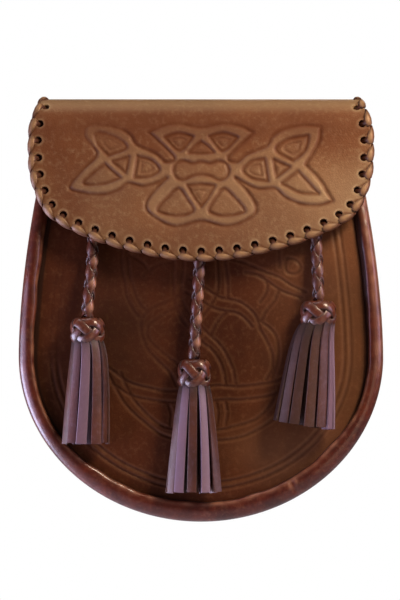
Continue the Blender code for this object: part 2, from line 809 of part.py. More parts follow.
def make_fringe(tassel, material, collection, cutters):
    """The head that the strips hang from, with the strips fused to it."""
    top, _, _ = fringe_ring(tassel, 0)
    bottom, _, _ = fringe_ring(tassel, 1)
    rings = []
    for down in (0.0, HEAD_HEIGHT / (top.z - bottom.z)):
        centre, half, depth = fringe_ring(tassel, down)
        rings.append(
            [
                centre + Vector((half * cos(angle), depth * sin(angle), 0))
                for angle in (2 * pi * step / FRINGE_STEPS for step in range(FRINGE_STEPS))
            ]
        )
    fringe = loft(f"tassel_{tassel.name}_fringe", rings, material, collection)
    union = fringe.modifiers.new("strips", "BOOLEAN")
    union.operation = "UNION"
    union.solver = "EXACT"
    union.object = make_strips(tassel, cutters)
    return fringe


# ---------------------------------------------------------------------------------------------
# The whole pouch
# ---------------------------------------------------------------------------------------------


def main():
    clear_scene()
    pouch = new_collection("sporran_pouch")
    cutters = new_collection("cutters")

    dark_leather = leather("dark body leather", (0.075, 0.030, 0.016), 0.45)
    rim_leather = leather("glossy rim leather", (0.13, 0.035, 0.016), 0.3)
    flap_leather = leather("tan flap leather", (0.23, 0.095, 0.040), 0.55)
    lace_leather = leather("lace leather", (0.20, 0.075, 0.030), 0.5)
    tassel_leather = leather("red-brown tassel leather", (0.15, 0.045, 0.024), 0.35)
    brass = metal("aged brass", (0.45, 0.30, 0.12))

    make_back_panel(dark_leather, pouch)
    make_front_panel(dark_leather, pouch)
    make_gusset(dark_leather, pouch)
    make_front_rim(rim_leather, pouch)

    pattern = FlapPattern()
    make_flap(pattern, flap_leather, pouch, cutters)
    make_flap_lacing(pattern, lace_leather, pouch)
    make_closure_stud(brass, pouch)
    make_belt_loop("belt_loop_left", -LOOP_SPREAD, dark_leather, pouch)
    make_belt_loop("belt_loop_right", LOOP_SPREAD, dark_leather, pouch)

    for tassel in TASSELS:
        make_tab(tassel, dark_leather, pouch)
        make_cord(tassel, tassel_leather, pouch)
        make_knot(tassel, tassel_leather, pouch)
        make_fringe(tassel, tassel_leather, pouch, cutters)


main()
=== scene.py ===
# %% [markdown]
# # A leather sporran pouch
# A sporran is the pouch that hangs at the front of a kilt. This one is leather all over: a tooled
# front panel inside a rounded welt, a folded flap with knotwork and a laced edge, and three
# tassels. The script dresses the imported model. It loads it as a fixed frame, so that every piece
# here is made in the same metres, with +Z up, the front towards -Y and the wearer's side towards
# +Y.

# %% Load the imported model
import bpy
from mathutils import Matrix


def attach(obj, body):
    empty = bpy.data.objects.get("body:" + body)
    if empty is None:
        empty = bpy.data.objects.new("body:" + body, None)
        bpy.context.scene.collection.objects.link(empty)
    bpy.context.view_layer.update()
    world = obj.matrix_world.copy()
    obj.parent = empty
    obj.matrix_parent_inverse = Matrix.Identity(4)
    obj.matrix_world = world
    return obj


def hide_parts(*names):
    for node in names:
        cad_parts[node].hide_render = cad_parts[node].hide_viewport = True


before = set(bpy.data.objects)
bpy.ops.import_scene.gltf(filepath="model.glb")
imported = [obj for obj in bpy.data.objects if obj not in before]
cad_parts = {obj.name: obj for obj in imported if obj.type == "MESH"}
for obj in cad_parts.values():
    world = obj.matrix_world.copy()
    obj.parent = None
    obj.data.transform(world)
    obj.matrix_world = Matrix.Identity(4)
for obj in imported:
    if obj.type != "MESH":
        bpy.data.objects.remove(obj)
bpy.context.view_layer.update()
print("nodes in the packed model:", len(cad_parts))

# %% Modules and units
from collections import namedtuple
from math import pi, radians

import bmesh
import bpy
import numpy as np
from mathutils import Matrix, Vector, noise

MM = 0.001
GAP = 0.3 * MM  # clearance between neighbouring pieces
CREST_Z = 52 * MM  # heights are given as a drop below the crest of the flap

# %% [markdown]
# ## Camera
# The photograph is taken from straight ahead, with the camera level and far enough away for the
# sides to look parallel. A long lens gives the same look: the lens is worked out from the distance
# and from the height that the frame has to take in.

# %% Camera
FRONT_Y = -32 * MM
CAMERA_DISTANCE = 3.2
CAMERA_X, CAMERA_Z = -0.5 * MM, -47 * MM
FRAME_HEIGHT = 294 * MM
SENSOR = 36.0


def add_object(name, data):
    thing = bpy.data.objects.new(name, data)
    bpy.context.scene.collection.objects.link(thing)
    return thing


lens = bpy.data.cameras.new("photograph")
lens.sensor_width = SENSOR
lens.lens = SENSOR * CAMERA_DISTANCE / FRAME_HEIGHT
camera = add_object("photograph", lens)
camera.location = (CAMERA_X, FRONT_Y - CAMERA_DISTANCE, CAMERA_Z)
camera.rotation_euler = (pi / 2, 0, 0)
bpy.context.scene.camera = camera
print("lens", round(lens.lens, 1), "mm")

# %% [markdown]
# ## Nodes with short calls
# The world, every material and two Geometry Nodes trees are built in this script. They could be
# drawn by hand in Blender's editors, but a script that sets each node down in one call can be read
# from top to bottom and gives the same tree each time.

# %% Nodes with short calls


def set_inputs(tree, node, inputs):
    """An input given as an output socket is linked, any other is set."""
    for name, value in inputs.items():
        if isinstance(value, bpy.types.NodeSocket):
            tree.links.new(value, node.inputs[name])
        else:
            node.inputs[name].default_value = value
    return node


def add_node(tree, kind, inputs=None, **settings):
    node = tree.nodes.new(kind)
    for name, value in settings.items():
        setattr(node, name, value)
    return set_inputs(tree, node, inputs or {})


def new_material(name):
    """A material, its tree and its shader."""
    material = bpy.data.materials.new(name)
    material.use_nodes = True
    tree = material.node_tree
    return material, tree, tree.nodes["Principled BSDF"]


# %% [markdown]
# ## Light and floor
# Dark, glossy leather is lit by what it mirrors. A warm light stands high on the right and near,
# so that the pouch is golden there and falls off to a dark left. Two lilac lights far out at the
# sides hardly reach the front, but every surface that turns sideways mirrors them: the welt's
# outer shoulder, the knots and the strips. A third, bluer and stronger one stands low on the left,
# level with the pouch, and draws the long glint on the lower left of the welt. Weaker lights
# below, above and behind fill the rest. The world is white to the camera, as the photograph's
# background is, but dim as a light, so that the shadows keep their depth. The floor lies well
# below the pouch, which hangs, and is made pale in the same way, for the camera alone.

# %% Soft studio light
bpy.context.scene.view_settings.view_transform = "Standard"
LIGHT_TARGET = Vector((0, -0.02, -0.03))
LIGHTS = [  # name, place, size, power, colour
    ("key light", (0.34, -0.34, 0.34), 0.18, 5.3, (1.0, 0.90, 0.72)),
    ("fill light", (0.50, -0.70, -0.30), 0.4, 0.8, (1.0, 0.84, 0.62)),
    ("window light", (-0.80, -0.42, -0.20), 0.5, 4.4, (0.74, 0.60, 1.0)),
    ("rim light", (-0.85, 0.00, -0.38), 0.6, 27.0, (0.60, 0.68, 1.0)),
    ("side light", (0.90, -0.26, 0.12), 0.5, 4.5, (0.80, 0.68, 1.0)),
    ("top light", (-0.26, -0.10, 0.75), 0.4, 2.2, (0.94, 0.93, 1.0)),
    ("back light", (0.3, 0.9, 0.2), 0.6, 3.5, (1.0, 0.97, 0.94)),
]

for name, place, size, power, colour in LIGHTS:
    data = bpy.data.lights.new(name, "AREA")
    data.size = size
    data.energy = power
    data.color = colour
    light = add_object(name, data)
    light.location = place
    light.rotation_euler = (LIGHT_TARGET - light.location).to_track_quat("-Z", "Y").to_euler()
print("lights round the pouch:", len(LIGHTS))

# %% White studio
STUDIO_TINT, STUDIO_GLOW = (1.0, 0.93, 0.90, 1.0), 0.10

world = bpy.data.worlds.new("white studio")
bpy.context.scene.world = world
world.use_nodes = True
sky = world.node_tree
sky.nodes.clear()
for_camera = add_node(sky, "ShaderNodeBackground", {"Color": (1, 1, 1, 1)}).outputs[0]
as_light = add_node(sky, "ShaderNodeBackground", {
    "Color": STUDIO_TINT, "Strength": STUDIO_GLOW}).outputs[0]
seen = add_node(sky, "ShaderNodeLightPath").outputs["Is Camera Ray"]
mixed = add_node(sky, "ShaderNodeMixShader", {0: seen, 1: as_light, 2: for_camera}).outputs[0]
add_node(sky, "ShaderNodeOutputWorld", {"Surface": mixed})

# %% Floor
FLOOR_Z = -0.60
FLOOR_RADIUS = 1.6


def mesh_from(work, name):
    """What a bmesh holds, as a mesh; the bmesh is done with."""
    mesh = bpy.data.meshes.new(name)
    work.to_mesh(mesh)
    work.free()
    return mesh


work = bmesh.new()
bmesh.ops.create_circle(work, cap_ends=True, segments=96, radius=FLOOR_RADIUS,
                        matrix=Matrix.Translation((0, 0, FLOOR_Z)))
floor = add_object("floor", mesh_from(work, "floor"))
paint, tree, shader = new_material("pale floor")
seen = add_node(tree, "ShaderNodeLightPath").outputs["Is Camera Ray"]
set_inputs(tree, shader, {
    "Base Color": (0.8, 0.8, 0.79, 1), "Roughness": 0.7, "Emission Color": (0.45, 0.44, 0.43, 1),
    "Emission Strength": seen})
floor.data.materials.append(paint)

# %% [markdown]
# ## Leather
# All the leather on the pouch is the same hide with different dressings. Its colour comes from
# dye that takes unevenly, its surface from a fine pebbled grain, and its age from rubbed edges and
# from dirt in the tooled lines. Painted light and shade are laid on with the same two colours. One
# function builds such a finish from a few numbers. It reads Object coordinates, so that the grain
# has its true size, and two attributes that a piece may carry: one that is 1 at the bottom of a
# pressed line and where shade is painted, and one that is 1 where hands have polished it and where
# a highlight, sheen or glint is painted.

# %% Colours and ranges


def mix_colour(tree, share, first, second):
    """A share of the second colour in the first; each is a socket or three numbers."""
    first, second = (
        (*colour, 1.0) if isinstance(colour, tuple) else colour for colour in (first, second))
    node = add_node(tree, "ShaderNodeMix", {0: share, 6: first, 7: second}, data_type="RGBA")
    return node.outputs[2]


def ranged(tree, value, low, high, to_low=0.0, to_high=1.0):
    """The value, stretched from low..high to to_low..to_high, and held there."""
    return add_node(tree, "ShaderNodeMapRange", {
        "Value": value, "From Min": low, "From Max": high, "To Min": to_low, "To Max": to_high,
    }).outputs["Result"]


def weighted_sum(tree, value, factor, base):
    """value * factor + base, held between 0 and 1."""
    return add_node(tree, "ShaderNodeMath", {0: value, 1: factor, 2: base},
                    operation="MULTIPLY_ADD", use_clamp=True).outputs[0]


# %% Leather finish
Dressing = namedtuple(
    "Dressing",
    "deep main light dirt roughness specular tint grain_size grain_depth coat coat_roughness "
    "patches frayed",
    defaults=[0.0],
)
FLECKS, PORES = 420.0, 2.6  # flecks for each metre, pores for each pebble of the grain
FLECK_SHARE, PEBBLE_SHARE, RUBBED_AND_HIGHLIGHT_SHARE, DIRT_AND_SHADE_SHARE = 0.22, 0.28, 0.65, 0.9
DYE_ROUGHNESS = 0.07  # how far the uneven dye changes the roughness, up and down
GRIME_ROUGHNESS = 0.3  # added where a tooled line is full of dirt
GRAIN_STRENGTH = 0.6


def leather_finish(name, dressing):
    material, tree, shader = new_material(name)
    place = add_node(tree, "ShaderNodeTexCoord").outputs["Object"]
    dye = add_node(tree, "ShaderNodeTexNoise", {
        "Vector": place, "Scale": dressing.patches, "Detail": 5.0, "Roughness": 0.62}).outputs[0]
    flecks = add_node(tree, "ShaderNodeTexNoise", {
        "Vector": place, "Scale": FLECKS, "Detail": 3.0, "Roughness": 0.6}).outputs[0]
    pebbles = add_node(tree, "ShaderNodeTexVoronoi", {
        "Vector": place, "Scale": 1 / dressing.grain_size, "Randomness": 1.0}).outputs["Distance"]
    pores = add_node(tree, "ShaderNodeTexNoise", {
        "Vector": place, "Scale": PORES / dressing.grain_size, "Detail": 2.0}).outputs[0]
    tooled = add_node(tree, "ShaderNodeAttribute", attribute_name="tooled").outputs["Fac"]
    rubbed = add_node(tree, "ShaderNodeAttribute", attribute_name="rubbed").outputs["Fac"]

    colour = mix_colour(tree, ranged(tree, dye, 0.36, 0.66), dressing.deep, dressing.main)
    # The light colour stands for wear and for painted highlights, the dirt colour for dirt and for
    # painted shade.
    for share, over in (
        (ranged(tree, flecks, 0.50, 0.78, 0.0, FLECK_SHARE), dressing.light),
        (ranged(tree, pebbles, 0.25, 0.75, 0.0, PEBBLE_SHARE), dressing.deep),
        (ranged(tree, rubbed, 0.0, 1.0, 0.0, RUBBED_AND_HIGHLIGHT_SHARE), dressing.light),
        (ranged(tree, tooled, 0.0, 1.0, 0.0, DIRT_AND_SHADE_SHARE), dressing.dirt),
    ):
        colour = mix_colour(tree, share, colour, over)
    rough = ranged(tree, dye, 0.3, 0.7, dressing.roughness + DYE_ROUGHNESS,
                   dressing.roughness - DYE_ROUGHNESS)
    rough = weighted_sum(tree, tooled, GRIME_ROUGHNESS, rough)
    rough = weighted_sum(tree, rubbed, dressing.frayed, rough)
    height = add_node(
        tree, "ShaderNodeMath", {0: pebbles, 1: pores}, operation="SUBTRACT").outputs[0]
    grain = add_node(tree, "ShaderNodeBump", {
        "Height": height, "Distance": dressing.grain_depth, "Strength": GRAIN_STRENGTH,
    }, invert=True).outputs["Normal"]
    set_inputs(tree, shader, {
        "Base Color": colour, "Roughness": rough, "Normal": grain,
        "Specular IOR Level": dressing.specular, "Specular Tint": (*dressing.tint, 1.0),
        "Coat Weight": dressing.coat, "Coat Roughness": dressing.coat_roughness})
    return material


# %% The finishes
# The gloss of dry leather, of waxed leather and of the welt's deep red dye.
GOLDEN, PALE, RUDDY = (1.0, 0.62, 0.38), (1.0, 0.86, 0.80), (1.0, 0.60, 0.50)
flap_finish = leather_finish("tan tooled leather", Dressing(
    deep=(0.072, 0.018, 0.005), main=(0.112, 0.036, 0.0110), light=(0.32, 0.222, 0.118),
    dirt=(0.064, 0.014, 0.003), roughness=0.50, specular=0.36, tint=GOLDEN, grain_size=0.9 * MM,
    grain_depth=0.14 * MM, coat=0.05, coat_roughness=0.35, patches=24.0))
panel_finish = leather_finish("dark tooled leather", Dressing(
    deep=(0.030, 0.0065, 0.0028), main=(0.086, 0.022, 0.0075), light=(0.21, 0.092, 0.040),
    dirt=(0.012, 0.003, 0.002), roughness=0.42, specular=0.22, tint=GOLDEN, grain_size=0.9 * MM,
    grain_depth=0.06 * MM, coat=0.04, coat_roughness=0.25, patches=16.0))
body_finish = leather_finish("dark body leather", Dressing(
    deep=(0.030, 0.010, 0.004), main=(0.072, 0.025, 0.009), light=(0.13, 0.052, 0.02),
    dirt=(0.010, 0.004, 0.002), roughness=0.48, specular=0.35, tint=PALE, grain_size=1.0 * MM,
    grain_depth=0.10 * MM, coat=0.08, coat_roughness=0.35, patches=24.0))
welt_finish = leather_finish("glossy welt leather", Dressing(
    deep=(0.034, 0.0048, 0.0022), main=(0.082, 0.0128, 0.0048), light=(0.28, 0.118, 0.062),
    dirt=(0.010, 0.003, 0.002), roughness=0.34, specular=0.28, tint=RUDDY, grain_size=0.8 * MM,
    grain_depth=0.09 * MM, coat=0.50, coat_roughness=0.24, patches=110.0, frayed=0.4))
lace_finish = leather_finish("lace leather", Dressing(
    deep=(0.055, 0.015, 0.005), main=(0.128, 0.042, 0.014), light=(0.40, 0.245, 0.12),
    dirt=(0.030, 0.006, 0.003), roughness=0.42, specular=0.36, tint=GOLDEN, grain_size=0.6 * MM,
    grain_depth=0.07 * MM, coat=0.08, coat_roughness=0.3, patches=150.0))
braid_finish = leather_finish("glossy braid leather", Dressing(
    deep=(0.045, 0.009, 0.004), main=(0.100, 0.021, 0.008), light=(0.46, 0.22, 0.13),
    dirt=(0.014, 0.003, 0.002), roughness=0.34, specular=0.42, tint=PALE, grain_size=0.6 * MM,
    grain_depth=0.06 * MM, coat=0.24, coat_roughness=0.18, patches=110.0))
# The strips' light colour is lilac, a painted reflection of the lilac lights at the sides.
strip_finish = leather_finish("tassel strip leather", Dressing(
    deep=(0.048, 0.012, 0.006), main=(0.092, 0.027, 0.012), light=(0.205, 0.135, 0.190),
    dirt=(0.012, 0.004, 0.003), roughness=0.40, specular=0.32, tint=PALE, grain_size=0.7 * MM,
    grain_depth=0.04 * MM, coat=0.16, coat_roughness=0.26, patches=60.0))
thread_finish = leather_finish("waxed thread", Dressing(
    deep=(0.10, 0.05, 0.025), main=(0.20, 0.11, 0.055), light=(0.30, 0.19, 0.10),
    dirt=(0.03, 0.012, 0.006), roughness=0.5, specular=0.4, tint=PALE, grain_size=0.25 * MM,
    grain_depth=0.05 * MM, coat=0.1, coat_roughness=0.3, patches=150.0))

# %% [markdown]
# ## Curves and sheets
# Every piece is described by a few points in a table and by formulas, the same ones that shaped
# the solids. Three helpers turn them into fine meshes: a smooth curve through points, a trace that
# reads a curve by the distance along it, and a plate that gives a curved face its thickness and
# its rounded edge. Arrays keep this fast, because a face here has tens of thousands of corners.

# %% Shares and curves


def smooth_step(share):
    share = np.clip(share, 0.0, 1.0)
    return share * share * (3 - 2 * share)


def bell(distance, width):
    """1 where the distance is 0, and falling away smoothly on both sides."""
    return np.exp(-((distance / width) ** 2))


def blend(low, high, share):
    return low + (high - low) * share


def unit(vectors):
    return vectors / np.linalg.norm(vectors, axis=-1, keepdims=True)


def smooth_curve(points, steps, closed=False):
    """Points along a Catmull-Rom curve through the given ones, steps for each stretch."""
    points = np.asarray(points, float)
    if closed:
        ends = np.concatenate([points[-1:], points, points[:2]])
    else:
        first, last = 2 * points[:1] - points[1:2], 2 * points[-1:] - points[-2:-1]
        ends = np.concatenate([first, points, last])
    before, start, end, after = ends[:-3], ends[1:-2], ends[2:-1], ends[3:]
    t = (np.arange(steps) / steps)[:, None, None]
    curve = 0.5 * (
        2 * start
        + (end - before) * t
        + (2 * before - 5 * start + 4 * end - after) * t**2
        + (3 * start - before - 3 * end + after) * t**3
    )
    still = (start == end).all(1)  # between two equal points, so that their tip stays sharp
    curve[:, still] = start[still]
    curve = curve.transpose(1, 0, 2).reshape(-1, points.shape[1])
    return np.concatenate([curve, curve[:1] if closed else points[-1:]])


class Trace:
    """A curve read by the distance along it."""

    def __init__(self, points):
        self.points = np.asarray(points, float)
        steps = np.linalg.norm(np.diff(self.points, axis=0), axis=1)
        self.distances = np.concatenate([[0.0], np.cumsum(steps)])
        self.length = self.distances[-1]

    def at(self, distance):
        """The place at a distance, in a straight line beyond either end."""
        distance = np.asarray(distance, float)
        inside = np.clip(distance, 0, self.length)
        found = np.stack(
            [np.interp(inside, self.distances, column) for column in self.points.T], axis=-1)
        first, last = unit(self.points[[1, -1]] - self.points[[0, -2]])
        found += np.minimum(distance, 0)[..., None] * first
        return found + np.maximum(distance - self.length, 0)[..., None] * last

    def direction(self, distance, reach=1.0 * MM):
        return unit(self.at(np.asarray(distance) + reach) - self.at(np.asarray(distance) - reach))


# %% Meshes from arrays
COARSE = 4  # corners of a plate's fine outer face for one of its coarse inner face


def add_piece(name, mesh, finish):
    mesh.materials.clear()
    mesh.materials.append(finish)
    for face in mesh.polygons:
        face.use_smooth = True
    return add_object(name, mesh)


def mesh_of(name, corners, faces):
    mesh = bpy.data.meshes.new(name)
    mesh.from_pydata(np.asarray(corners).reshape(-1, 3).tolist(), [], faces)
    work = bmesh.new()
    work.from_mesh(mesh)
    bmesh.ops.remove_doubles(work, verts=work.verts, dist=1e-7)
    bmesh.ops.recalc_face_normals(work, faces=work.faces)
    work.to_mesh(mesh)
    work.free()
    return mesh


def grid_faces(rows, columns, start=0):
    corner = start + np.arange(rows * columns).reshape(rows, columns)
    quads = np.stack([corner[:-1, :-1], corner[:-1, 1:], corner[1:, 1:], corner[1:, :-1]], axis=-1)
    return quads.reshape(-1, 4).tolist()


def border(rows, columns, start=0):
    """The indices round a grid's edge, once round."""
    corner = start + np.arange(rows * columns).reshape(rows, columns)
    sides = [corner[0, :-1], corner[:-1, -1], corner[-1, :0:-1], corner[:0:-1, 0]]
    return np.concatenate(sides)


def from_border(face):
    """Distance of each corner of a grid from the grid's edge, along its rows and columns."""
    found = []
    for axis in (0, 1):
        steps = np.linalg.norm(np.diff(face, axis=axis), axis=-1)
        passed = np.cumsum(steps, axis=axis)
        zero = np.zeros_like(passed.take([0], axis=axis))
        passed = np.concatenate([zero, passed], axis=axis)
        found += [passed, passed.take([-1], axis=axis) - passed]
    return np.minimum.reduce(found)


def round_edge(distance, radius):
    """How far a rounded edge falls away at a distance from it."""
    return radius * (1 - np.sqrt(1 - (1 - np.clip(distance / radius, 0, 1)) ** 2))


def plate_mesh(name, place, across, down, thickness, relief=None, radius=0.7 * MM):
    """A closed plate: a fine outer face and a coarse inner one, joined round a rounded edge."""
    a, d = np.meshgrid(across, down)
    face = place(a, d, np.full(a.shape, thickness / 2))
    height = thickness / 2 - round_edge(from_border(face), radius)
    if relief:
        height = height + relief(face)
    outer = place(a, d, height)
    a, d = a[::COARSE, ::COARSE], d[::COARSE, ::COARSE]
    inner = place(a, d, np.full(a.shape, -thickness / 2))
    fine, loose = outer.shape[:2], inner.shape[:2]
    start = fine[0] * fine[1]
    faces = grid_faces(*fine) + grid_faces(*loose, start)
    round_outer, round_inner = border(*fine), border(*loose, start)
    round_outer = np.append(round_outer, round_outer[0])
    round_inner = np.append(round_inner, round_inner[0])
    for i in range(len(round_inner) - 1):
        stretch = round_outer[i * COARSE : (i + 1) * COARSE + 1]
        faces.append([*stretch.tolist(), int(round_inner[i + 1]), int(round_inner[i])])
    return mesh_of(name, np.concatenate([outer.reshape(-1, 3), inner.reshape(-1, 3)]), faces)


def corners_of(mesh):
    found = np.empty(len(mesh.vertices) * 3, np.float32)
    mesh.vertices.foreach_get("co", found)
    return found.reshape(-1, 3).astype(float)


def paint_attribute(mesh, name, values):
    attribute = mesh.attributes.new(name, "FLOAT", "POINT")
    attribute.data.foreach_set("value", np.asarray(values, np.float32))


def grid_line(start, end, spacing, multiple=COARSE):
    """Evenly spaced values from start to end, in a multiple of so many steps."""
    steps = multiple * max(1, round((end - start) / spacing / multiple))
    return np.linspace(start, end, steps + 1)


def hand_over(piece, slot, *nodes):
    """The piece rides on the pouch and takes the place of these nodes."""
    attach(piece, "root")
    if nodes:
        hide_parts(*nodes)
    print(piece.name, "triangles", sum(len(face.vertices) - 2 for face in piece.data.polygons))
    return piece


# %% [markdown]
# ## Straps that follow a path
# The lace, the braids, the woven knots and the tassel strips are all the same thing: a narrow
# strap that follows a path and turns as it goes. One Geometry Nodes tree makes them all. A path is
# a chain of points. Each point says where the strap faces, which way its width lies, and which
# share of its full width it has there. The tree sweeps a rectangle with rounded corners along the
# chain, which gives the faces, and then lays every section in those two directions. A plain sweep
# sets each section square to the path, and a lace that crosses an edge at a slant needs it along
# the edge.

# %% Trees with named inputs


def new_tree(name, output, inputs):
    """A tree with one geometry output and these inputs, and the sockets that the inputs give."""
    tree = bpy.data.node_groups.new(name, "GeometryNodeTree")
    tree.interface.new_socket(
        name=output, in_out="OUTPUT", socket_type="NodeSocketGeometry")
    for label, kind, value in inputs:
        socket = tree.interface.new_socket(
            name=label, in_out="INPUT", socket_type="NodeSocket" + kind)
        if value is not None:
            socket.default_value = value
    return tree, add_node(tree, "NodeGroupInput").outputs


def end_tree(tree, output, geometry, finish):
    """Copies become real faces, because the export drops instances, and take their finish."""
    made = add_node(tree, "GeometryNodeRealizeInstances", {"Geometry": geometry}).outputs[0]
    dressed = add_node(tree, "GeometryNodeSetMaterial", {
        "Geometry": made, "Material": finish}).outputs[0]
    add_node(tree, "NodeGroupOutput", {output: dressed})
    return tree


def named(tree, name, kind="FLOAT_VECTOR"):
    node = add_node(tree, "GeometryNodeInputNamedAttribute", {"Name": name}, data_type=kind)
    return node.outputs[0]


def noted(tree, geometry, name):
    """The geometry, with its present positions kept in an attribute."""
    here = add_node(tree, "GeometryNodeInputPosition").outputs[0]
    return add_node(tree, "GeometryNodeStoreNamedAttribute", {
        "Geometry": geometry, "Name": name, "Value": here}, data_type="FLOAT_VECTOR").outputs[0]


def maths(tree, operation, first, second):
    return add_node(tree, "ShaderNodeMath", {0: first, 1: second}, operation=operation).outputs[0]


def scaled(tree, vector, factor):
    node = add_node(tree, "ShaderNodeVectorMath", {0: vector, "Scale": factor}, operation="SCALE")
    return node.outputs[0]


def summed(tree, first, second):
    node = add_node(tree, "ShaderNodeVectorMath", {0: first, 1: second}, operation="ADD")
    return node.outputs[0]


# %% Strap tree
CORNER_STEPS = 3
# A strap is painted darker towards its long edges, as painted shade where straps meet, cross and
# overlap.
EDGE_SHADE_FROM, EDGE_SHADE_FULL = 0.32, 0.5  # in widths from the strap's middle


def strap_tree():
    tree, given = new_tree("strap along a path", "Strap", [
        ("Paths", "Geometry", None), ("Width", "Float", 3 * MM), ("Thickness", "Float", 1 * MM),
        ("Corner Radius", "Float", 0.4 * MM),
        ("Curl", "Float", 0.0),  # how far it cups across, per metre
        ("Edge Grime", "Float", 0.0), ("Cuts", "Int", 0), ("Finish", "Material", None)])
    curve = add_node(tree, "GeometryNodeMeshToCurve", {"Mesh": given["Paths"]}).outputs[0]
    section = add_node(tree, "GeometryNodeCurvePrimitiveQuadrilateral", {
        "Width": given["Thickness"], "Height": given["Width"]}).outputs[0]
    rounded = add_node(tree, "GeometryNodeFilletCurve", {
        "Curve": section, "Radius": given["Corner Radius"], "Count": CORNER_STEPS,
        "Limit Radius": True}, mode="POLY").outputs[0]
    cut = add_node(tree, "GeometryNodeSubdivideCurve", {
        "Curve": rounded, "Cuts": given["Cuts"]}).outputs[0]
    swept = add_node(tree, "GeometryNodeCurveToMesh", {
        "Curve": noted(tree, curve, "middle"), "Profile Curve": noted(tree, cut, "section"),
        "Fill Caps": True}).outputs[0]
    across = add_node(tree, "ShaderNodeSeparateXYZ", {"Vector": named(tree, "section")}).outputs
    squared = maths(tree, "MULTIPLY", across["Y"], across["Y"])
    cupped = maths(tree, "MULTIPLY", squared, given["Curl"])
    sideways = scaled(tree, named(tree, "across"), maths(
        tree, "MULTIPLY", across["Y"], named(tree, "share", "FLOAT")))
    outwards = scaled(tree, named(tree, "facing"), maths(tree, "SUBTRACT", across["X"], cupped))
    place = summed(tree, named(tree, "middle"), summed(tree, sideways, outwards))
    laid = add_node(tree, "GeometryNodeSetPosition", {
        "Geometry": swept, "Position": place}).outputs[0]
    from_middle = maths(tree, "DIVIDE", maths(tree, "ABSOLUTE", across["Y"], 0.0), given["Width"])
    edge = ranged(tree, from_middle, EDGE_SHADE_FROM, EDGE_SHADE_FULL, 0.0, given["Edge Grime"])
    edge_shaded = add_node(tree, "GeometryNodeStoreNamedAttribute", {
        "Geometry": laid, "Name": "tooled",
        "Value": maths(tree, "MAXIMUM", named(tree, "tooled", "FLOAT"), edge)}).outputs[0]
    return end_tree(tree, "Strap", edge_shaded, given["Finish"])


STRAP_TREE = strap_tree()
print("strap tree:", len(STRAP_TREE.nodes), "nodes")

# %% Paths for the trees
Path = namedtuple("Path", "points facing across share rubbed tooled closed")


def path_of(points, facing, across=None, share=1.0, rubbed=0.0, tooled=0.0, closed=False):
    """A path; share, rubbed and tooled are one number for all its points, or one for each."""
    points, facing = np.asarray(points), unit(np.asarray(facing, float))
    ends = np.concatenate([points[-1:], points, points[:1]])
    along = unit(ends[2:] - ends[:-2] if closed else np.gradient(points, axis=0))
    square = unit(np.cross(along, facing))
    if across is None:
        across, facing = square, np.cross(square, along)
    else:
        across = across * np.sign((across * square).sum())
    marks = [np.broadcast_to(mark, len(points)) for mark in (share, rubbed, tooled)]
    return Path(points, facing, across, *marks, closed)


def paths_mesh(name, paths):
    """Chains of edges; each point carries its directions, its share of the width and its wear."""
    corners = np.concatenate([path.points for path in paths])
    edges, start = [], 0
    for path in paths:
        count = len(path.points)
        edges += [(start + i, start + i + 1) for i in range(count - 1)]
        if path.closed:
            edges.append((start + count - 1, start))
        start += count
    mesh = bpy.data.meshes.new(name)
    mesh.from_pydata(corners.tolist(), edges, [])
    for mark in ("facing", "across"):
        attribute = mesh.attributes.new(mark, "FLOAT_VECTOR", "POINT")
        values = np.concatenate([getattr(path, mark) for path in paths])
        attribute.data.foreach_set("vector", values.astype(np.float32).ravel())
    for mark in ("share", "rubbed", "tooled"):
        paint_attribute(mesh, mark, np.concatenate([getattr(path, mark) for path in paths]))
    return mesh


def grown_mesh(name, seed, tree, **sizes):
    """The plain mesh that a tree grows from a seed mesh; sizes are the tree's named inputs."""
    carrier = add_object(name + "_seed", seed)
    modifier = carrier.modifiers.new(tree.name, "NODES")
    modifier.node_group = tree
    sockets = {item.name: item.identifier for item in tree.interface.items_tree}
    for label, value in sizes.items():
        modifier[sockets[label.replace("_", " ")]] = value
    graph = bpy.context.evaluated_depsgraph_get()
    mesh = bpy.data.meshes.new_from_object(carrier.evaluated_get(graph))
    mesh.name = name
    for mark in ("facing", "across", "share", "middle", "section"):
        if mark in mesh.attributes:
            mesh.attributes.remove(mesh.attributes[mark])
    bpy.data.objects.remove(carrier)
    return mesh


def strap_mesh(name, paths, width, thickness, finish, radius, curl=0.0, darkening=0.0, cuts=0):
    return grown_mesh(
        name, paths_mesh(name + "_paths", paths), STRAP_TREE, Width=width, Thickness=thickness,
        Corner_Radius=radius, Curl=curl, Edge_Grime=darkening, Cuts=cuts, Finish=finish)


def joined(name, meshes):
    work = bmesh.new()
    for mesh in meshes:
        work.from_mesh(mesh)
    return mesh_from(work, name)


# %% [markdown]
# ## Stitches
# Saddle stitches are short thread ends that dip into the leather at each hole. A second tree sets
# one small grain of thread, turned along the seam, at every step. Each has only a few dozen faces,
# because there are hundreds of them. The seams are noted down while the pieces are made, and sewn
# at the end.

# %% Stitch tree
STITCH_PITCH, STITCH_LENGTH, THREAD_WIDTH = 3.2 * MM, 2.3 * MM, 0.8 * MM


